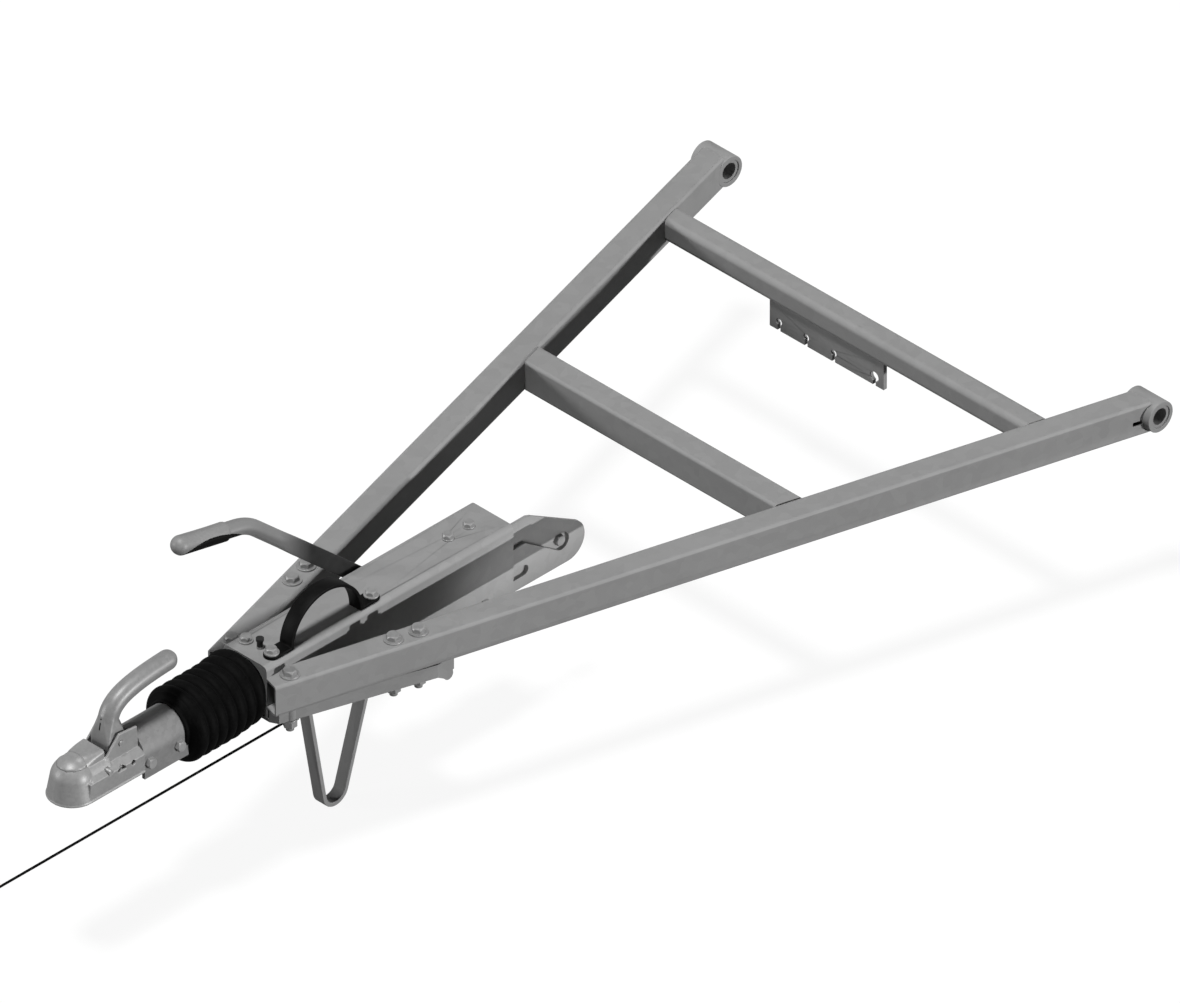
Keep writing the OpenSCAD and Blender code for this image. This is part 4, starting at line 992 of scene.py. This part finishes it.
rings = []
for i in range(BAR_STEPS + 1):
    share = BAR_SHARE * i / BAR_STEPS
    swell = ease(SWELL_FROM, SWELL_TO, share)
    half_y = BAR_T / 2 + (TUBE_R - BAR_T / 2) * swell
    half_n = BAR_W / 2 + (TUBE_R - BAR_W / 2) * swell
    p = along(BRAKE, bar_angle, bar_length * share)
    soft = BAR_SOFT + (1 - BAR_SOFT) * swell
    rings.append(section(p, bar_angle, half_y, half_n, soft, LEVER_Y))
for i in range(1, BEND_STEPS + 1):
    m = i / BEND_STEPS
    back, ahead = BEND_REACH * (1 - m) ** 2, BEND_REACH * m * m
    p = along(along(BEND, bar_angle, -back), grip_angle, ahead)
    turn = bar_angle + (grip_angle - bar_angle) * m
    rings.append(section(p, turn, TUBE_R, TUBE_R, 1, LEVER_Y))
tip = along(BEND, grip_angle, GRIP_START + GRIP_LAP)
rings.append(section(tip, grip_angle, TUBE_R, TUBE_R, 1, LEVER_Y))
bar = skin("bar", rings, lever_steel)
print("bar:", len(rings), "rings")

# %% [markdown]
# The pivot eye and the short tail below it are flat plates. They could be swept as well, but
# an outline of arcs is simpler. They are melted onto the bar, since a forged lever has no
# seams there.


# %% The lever's eye and tail
def plate(name, outline, y0, y1, finish_used):
    """A flat plate: an outline of (x, z) in millimetres, between two values of y."""
    rings = [[(x * MM, y * MM, z * MM) for x, z in outline] for y in (y0, y1)]
    return skin(name, rings, finish_used)


EYE_STEPS = 48
TAIL, TAIL_R, TAIL_ANGLE, TAIL_STEPS = 38, 12, math.radians(250), 24
LEVER_VOXEL, LEVER_ROUNDS = 1.1, 3
near, far = LEVER_Y - BAR_T / 2, LEVER_Y + BAR_T / 2
eye_outline = arc(BRAKE, BAR_W / 2, 0, 2 * math.pi, EYE_STEPS)[:-1]
eye = plate("eye", eye_outline, near, far, lever_steel)
tail_end = along(BRAKE, TAIL_ANGLE, TAIL)
tail_outline = arc(tail_end, TAIL_R, TAIL_ANGLE - math.pi / 2, math.pi, TAIL_STEPS)
tail_outline += arc(BRAKE, TAIL_R, TAIL_ANGLE + math.pi / 2, math.pi, TAIL_STEPS)
tail = plate("tail", tail_outline, near, far, lever_steel)
lever = melt("lever_bar", [bar, eye, tail], LEVER_VOXEL, LEVER_ROUNDS, lever_steel)
ride_on(lever, "handbrake", "black_steel", "handbrake_lever")
print("lever:", len(lever.data.vertices), "points")

# %% [markdown]
# ## Handbrake grip
# The grip is a sleeve with a rounded end. A plain cylinder would look like a pipe. Its radius
# therefore changes a little along its length, as each row of share and size says.

# %% Handbrake grip
GRIP_D, GRIP_SIDES, GRIP_END_STEPS = 34, 48, 12
GRIP_TIP = 6
GRIP_SIZES = [
    (0, 0.90), (0.0125, 0.955), (0.0375, 0.98), (0.125, 0.97), (0.375, 0.955),
    (0.625, 0.965), (0.875, 0.985), (1, 1.0),
]
GRIP_R = GRIP_D / 2
grip_length = math.hypot(GRIP_RUN, GRIP_RISE) + GRIP_TIP
stations = []
for share, size in GRIP_SIZES:
    run = (grip_length - GRIP_START - GRIP_R) * share
    stations.append((GRIP_START + run, GRIP_R * size))
for i in range(1, GRIP_END_STEPS):
    a = math.pi / 2 * i / GRIP_END_STEPS
    stations.append((grip_length - GRIP_R + GRIP_R * math.sin(a), GRIP_R * math.cos(a)))
rings = [
    section(along(BEND, grip_angle, s), grip_angle, r, r, 1, LEVER_Y, GRIP_SIDES)
    for s, r in stations
]
grip = skin("grip_sleeve", rings, grip_grey)
ride_on(grip, "handbrake", "grip_grey", "handbrake_grip")
print("grip:", round(grip_length - GRIP_START), "mm long")

# %% [markdown]
# ## Grip opening
# The pressed grip is open underneath. The opening is a long lens, dark inside, with its
# widest place near the middle. Cutting it would need an inside wall that nobody sees. A thin
# dark skin of painted shade lies just proud of the sleeve and stands in for the shadow inside.

# %% Grip opening
LENS_HALF_ANGLE, LENS_MID_ANGLE = math.radians(78), math.radians(-58)
LENS_FROM, LENS_END = 18, 9
LENS_STEPS, LENS_AROUND = 40, 12
LENS_RISE, LENS_ROOT = 0.35, -1.2
LENS_STRETCH, LENS_LEAST, LENS_FULLNESS = 1.02, 0.02, 0.5
SLEEVE_STEP = 3


def lens_ring(t):
    """A thin ring under the grip, at a share t of the opening's length."""
    rise = max(math.sin(math.pi * min(t * LENS_STRETCH, 1)), LENS_LEAST)
    spread = LENS_HALF_ANGLE * rise**LENS_FULLNESS
    reach = LENS_FROM + (grip_length - LENS_END - LENS_FROM) * t
    over = max(reach - (grip_length - GRIP_R), 0)
    full = TUBE_R + (GRIP_D - TUBE_D) / 2 * ease(GRIP_START - SLEEVE_STEP, GRIP_START, reach)
    radius = math.sqrt(full**2 - over**2)
    centre = along(BEND, grip_angle, reach)
    turns = range(LENS_AROUND + 1)
    ring = []
    for lift, order in ((LENS_RISE, turns), (LENS_ROOT, reversed(turns))):
        for k in order:
            a = LENS_MID_ANGLE + spread * (2 * k / LENS_AROUND - 1)
            side, up = (radius + lift) * math.cos(a), (radius + lift) * math.sin(a)
            x, z = along(centre, grip_angle + math.pi / 2, up)
            ring.append((x * MM, (LEVER_Y + side) * MM, z * MM))
    return ring


rings = [lens_ring(i / LENS_STEPS) for i in range(LENS_STEPS + 1)]
# The dark skin is painted shade for the inside of the opening.
lens = skin("grip_opening_shade", rings, black_paint)
ride_on(lens, "handbrake", "black_steel")
print("grip opening:", round(grip_length - LENS_END - LENS_FROM), "mm long")

# %% [markdown]
# ## Lamps
# Three distant lamps stand in for a plain studio: a broad one from above, a low one from the
# left behind, and a weak one from the front right. A picture of a studio could light the
# scene, but lamps are plain to change. Each row gives where the light comes from, its
# strength and its width in degrees.


# %% Distant lamps
def lamp(name, source, strength, width):
    """A lamp so far away that its light comes from one direction, as the sun's does."""
    data = bpy.data.lights.new(name, "SUN")
    data.energy = strength * math.pi
    data.angle = math.radians(width)
    obj = bpy.data.objects.new(name, data)
    obj.rotation_mode = "QUATERNION"
    obj.rotation_quaternion = (-Vector(source)).to_track_quat("-Z", "Y")
    scene.collection.objects.link(obj)


LAMPS = [
    ("lamp_above", (0.22, 0.02, 0.97), 0.97, 10),
    ("lamp_left", (-0.3, 0.95, 0.012), 0.78, 1),
    ("lamp_front", (0.78, -0.6, 0.2), 0.32, 10),
]
for row in LAMPS:
    lamp(*row)
print("distant lamps:", len(LAMPS))

# %% [markdown]
# The left rail keeps the light off the rear of the housing's flank, which on the real one
# catches light that bounces between the rails. Many more light bounces would be slow. A
# small soft card between the rail and the housing does the same, and no camera or
# reflection shows the card itself.

# %% Card lamp
CARD_PLACE, CARD_AIM = (0.97, 0.17, -0.045), (0, -0.11, 0.05)
CARD_LENGTH, CARD_HEIGHT = 0.34, 0.05
CARD_SPREAD, CARD_POWER = math.radians(110), 0.09
card = bpy.data.lights.new("lamp_card", "AREA")
card.shape = "RECTANGLE"
card.size, card.size_y = CARD_LENGTH, CARD_HEIGHT
card.spread = CARD_SPREAD
card.energy = CARD_POWER
card_lamp = bpy.data.objects.new("lamp_card", card)
card_lamp.location = CARD_PLACE
card_lamp.rotation_mode = "QUATERNION"
card_lamp.rotation_quaternion = Vector(CARD_AIM).to_track_quat("-Z", "Y")
card_lamp.visible_camera = False
card_lamp.visible_glossy = False
scene.collection.objects.link(card_lamp)
print("card lamp:", CARD_POWER, "W")

# %% [markdown]
# ## World
# The background is plain white. A bright world would also wash out the metal from all
# sides. So the world asks which ray has reached it: rays from the camera and through glass
# see white, gloss sees half of that, and all other light is nearly off.


# %% World
def strength_by_ray(tree, to_camera, to_gloss, to_rest):
    """A strength for rays from the camera or through glass, one for gloss, one for the rest."""
    seen = add_node(tree, "ShaderNodeLightPath")
    direct = add_node(
        tree,
        "ShaderNodeMath",
        {0: seen.outputs["Is Camera Ray"], 1: seen.outputs["Is Transmission Ray"]},
        operation="MAXIMUM",
    )
    indirect = add_node(
        tree,
        "ShaderNodeMapRange",
        {"Value": seen.outputs["Is Glossy Ray"], "To Min": to_rest, "To Max": to_gloss},
    )
    chosen = add_node(
        tree,
        "ShaderNodeMix",
        {"Factor": direct.outputs["Value"], "A": indirect.outputs["Result"], "B": to_camera},
        data_type="FLOAT",
    )
    return chosen.outputs["Result"]


WHITE = (1, 1, 1, 1)
CAMERA_WHITE, GLOSS_WHITE, WORLD_GLOW = 1.0, 0.5, 0.018
world = bpy.data.worlds.new("studio")
scene.world = world
world.use_nodes = True
tree = world.node_tree
tree.nodes.clear()
strength = strength_by_ray(tree, CAMERA_WHITE, GLOSS_WHITE, WORLD_GLOW)
sky = add_node(tree, "ShaderNodeBackground", {"Color": WHITE, "Strength": strength})
add_node(tree, "ShaderNodeOutputWorld", {"Surface": sky.outputs["Background"]})
print("world seen by gloss:", GLOSS_WHITE, "and by other light:", WORLD_GLOW)

# %% [markdown]
# ## Floor
# The floor lies just under the skid foot. A white floor would throw light up at the drawbar,
# and a floor that only glows would lose its shadow. This one is a dark matt paint that keeps
# the shadow, with a glow on top that the camera sees in full and gloss in part.

# %% Floor
FLOOR_WHITE, FLOOR_GLOSS, FLOOR_TONE = 0.92, 0.3, 0.10
FLOOR_HALF, FLOOR_MIDDLE, FLOOR_GAP = 30.0, 0.8, 0.001
floor_paint = bpy.data.materials.new("floor_paint")
floor_paint.use_nodes = True
tree = floor_paint.node_tree
tree.nodes.clear()
matt = add_node(
    tree, "ShaderNodeBsdfDiffuse", {"Color": (FLOOR_TONE, FLOOR_TONE, FLOOR_TONE, 1)}
)
strength = strength_by_ray(tree, FLOOR_WHITE, FLOOR_GLOSS, 0.0)
glow = add_node(tree, "ShaderNodeEmission", {"Color": WHITE, "Strength": strength})
lit = add_node(
    tree, "ShaderNodeAddShader", {0: matt.outputs["BSDF"], 1: glow.outputs["Emission"]}
)
add_node(tree, "ShaderNodeOutputMaterial", {"Surface": lit.outputs["Shader"]})
corners = [
    (x * FLOOR_HALF, y * FLOOR_HALF, 0) for x, y in ((-1, -1), (1, -1), (1, 1), (-1, 1))
]
floor = piece("floor", corners, [(0, 1, 2, 3)], floor_paint, smooth=False)
floor.location = (FLOOR_MIDDLE, 0, cad_low.z - FLOOR_GAP)
print("floor height:", round(floor.location.z, 4), "m")
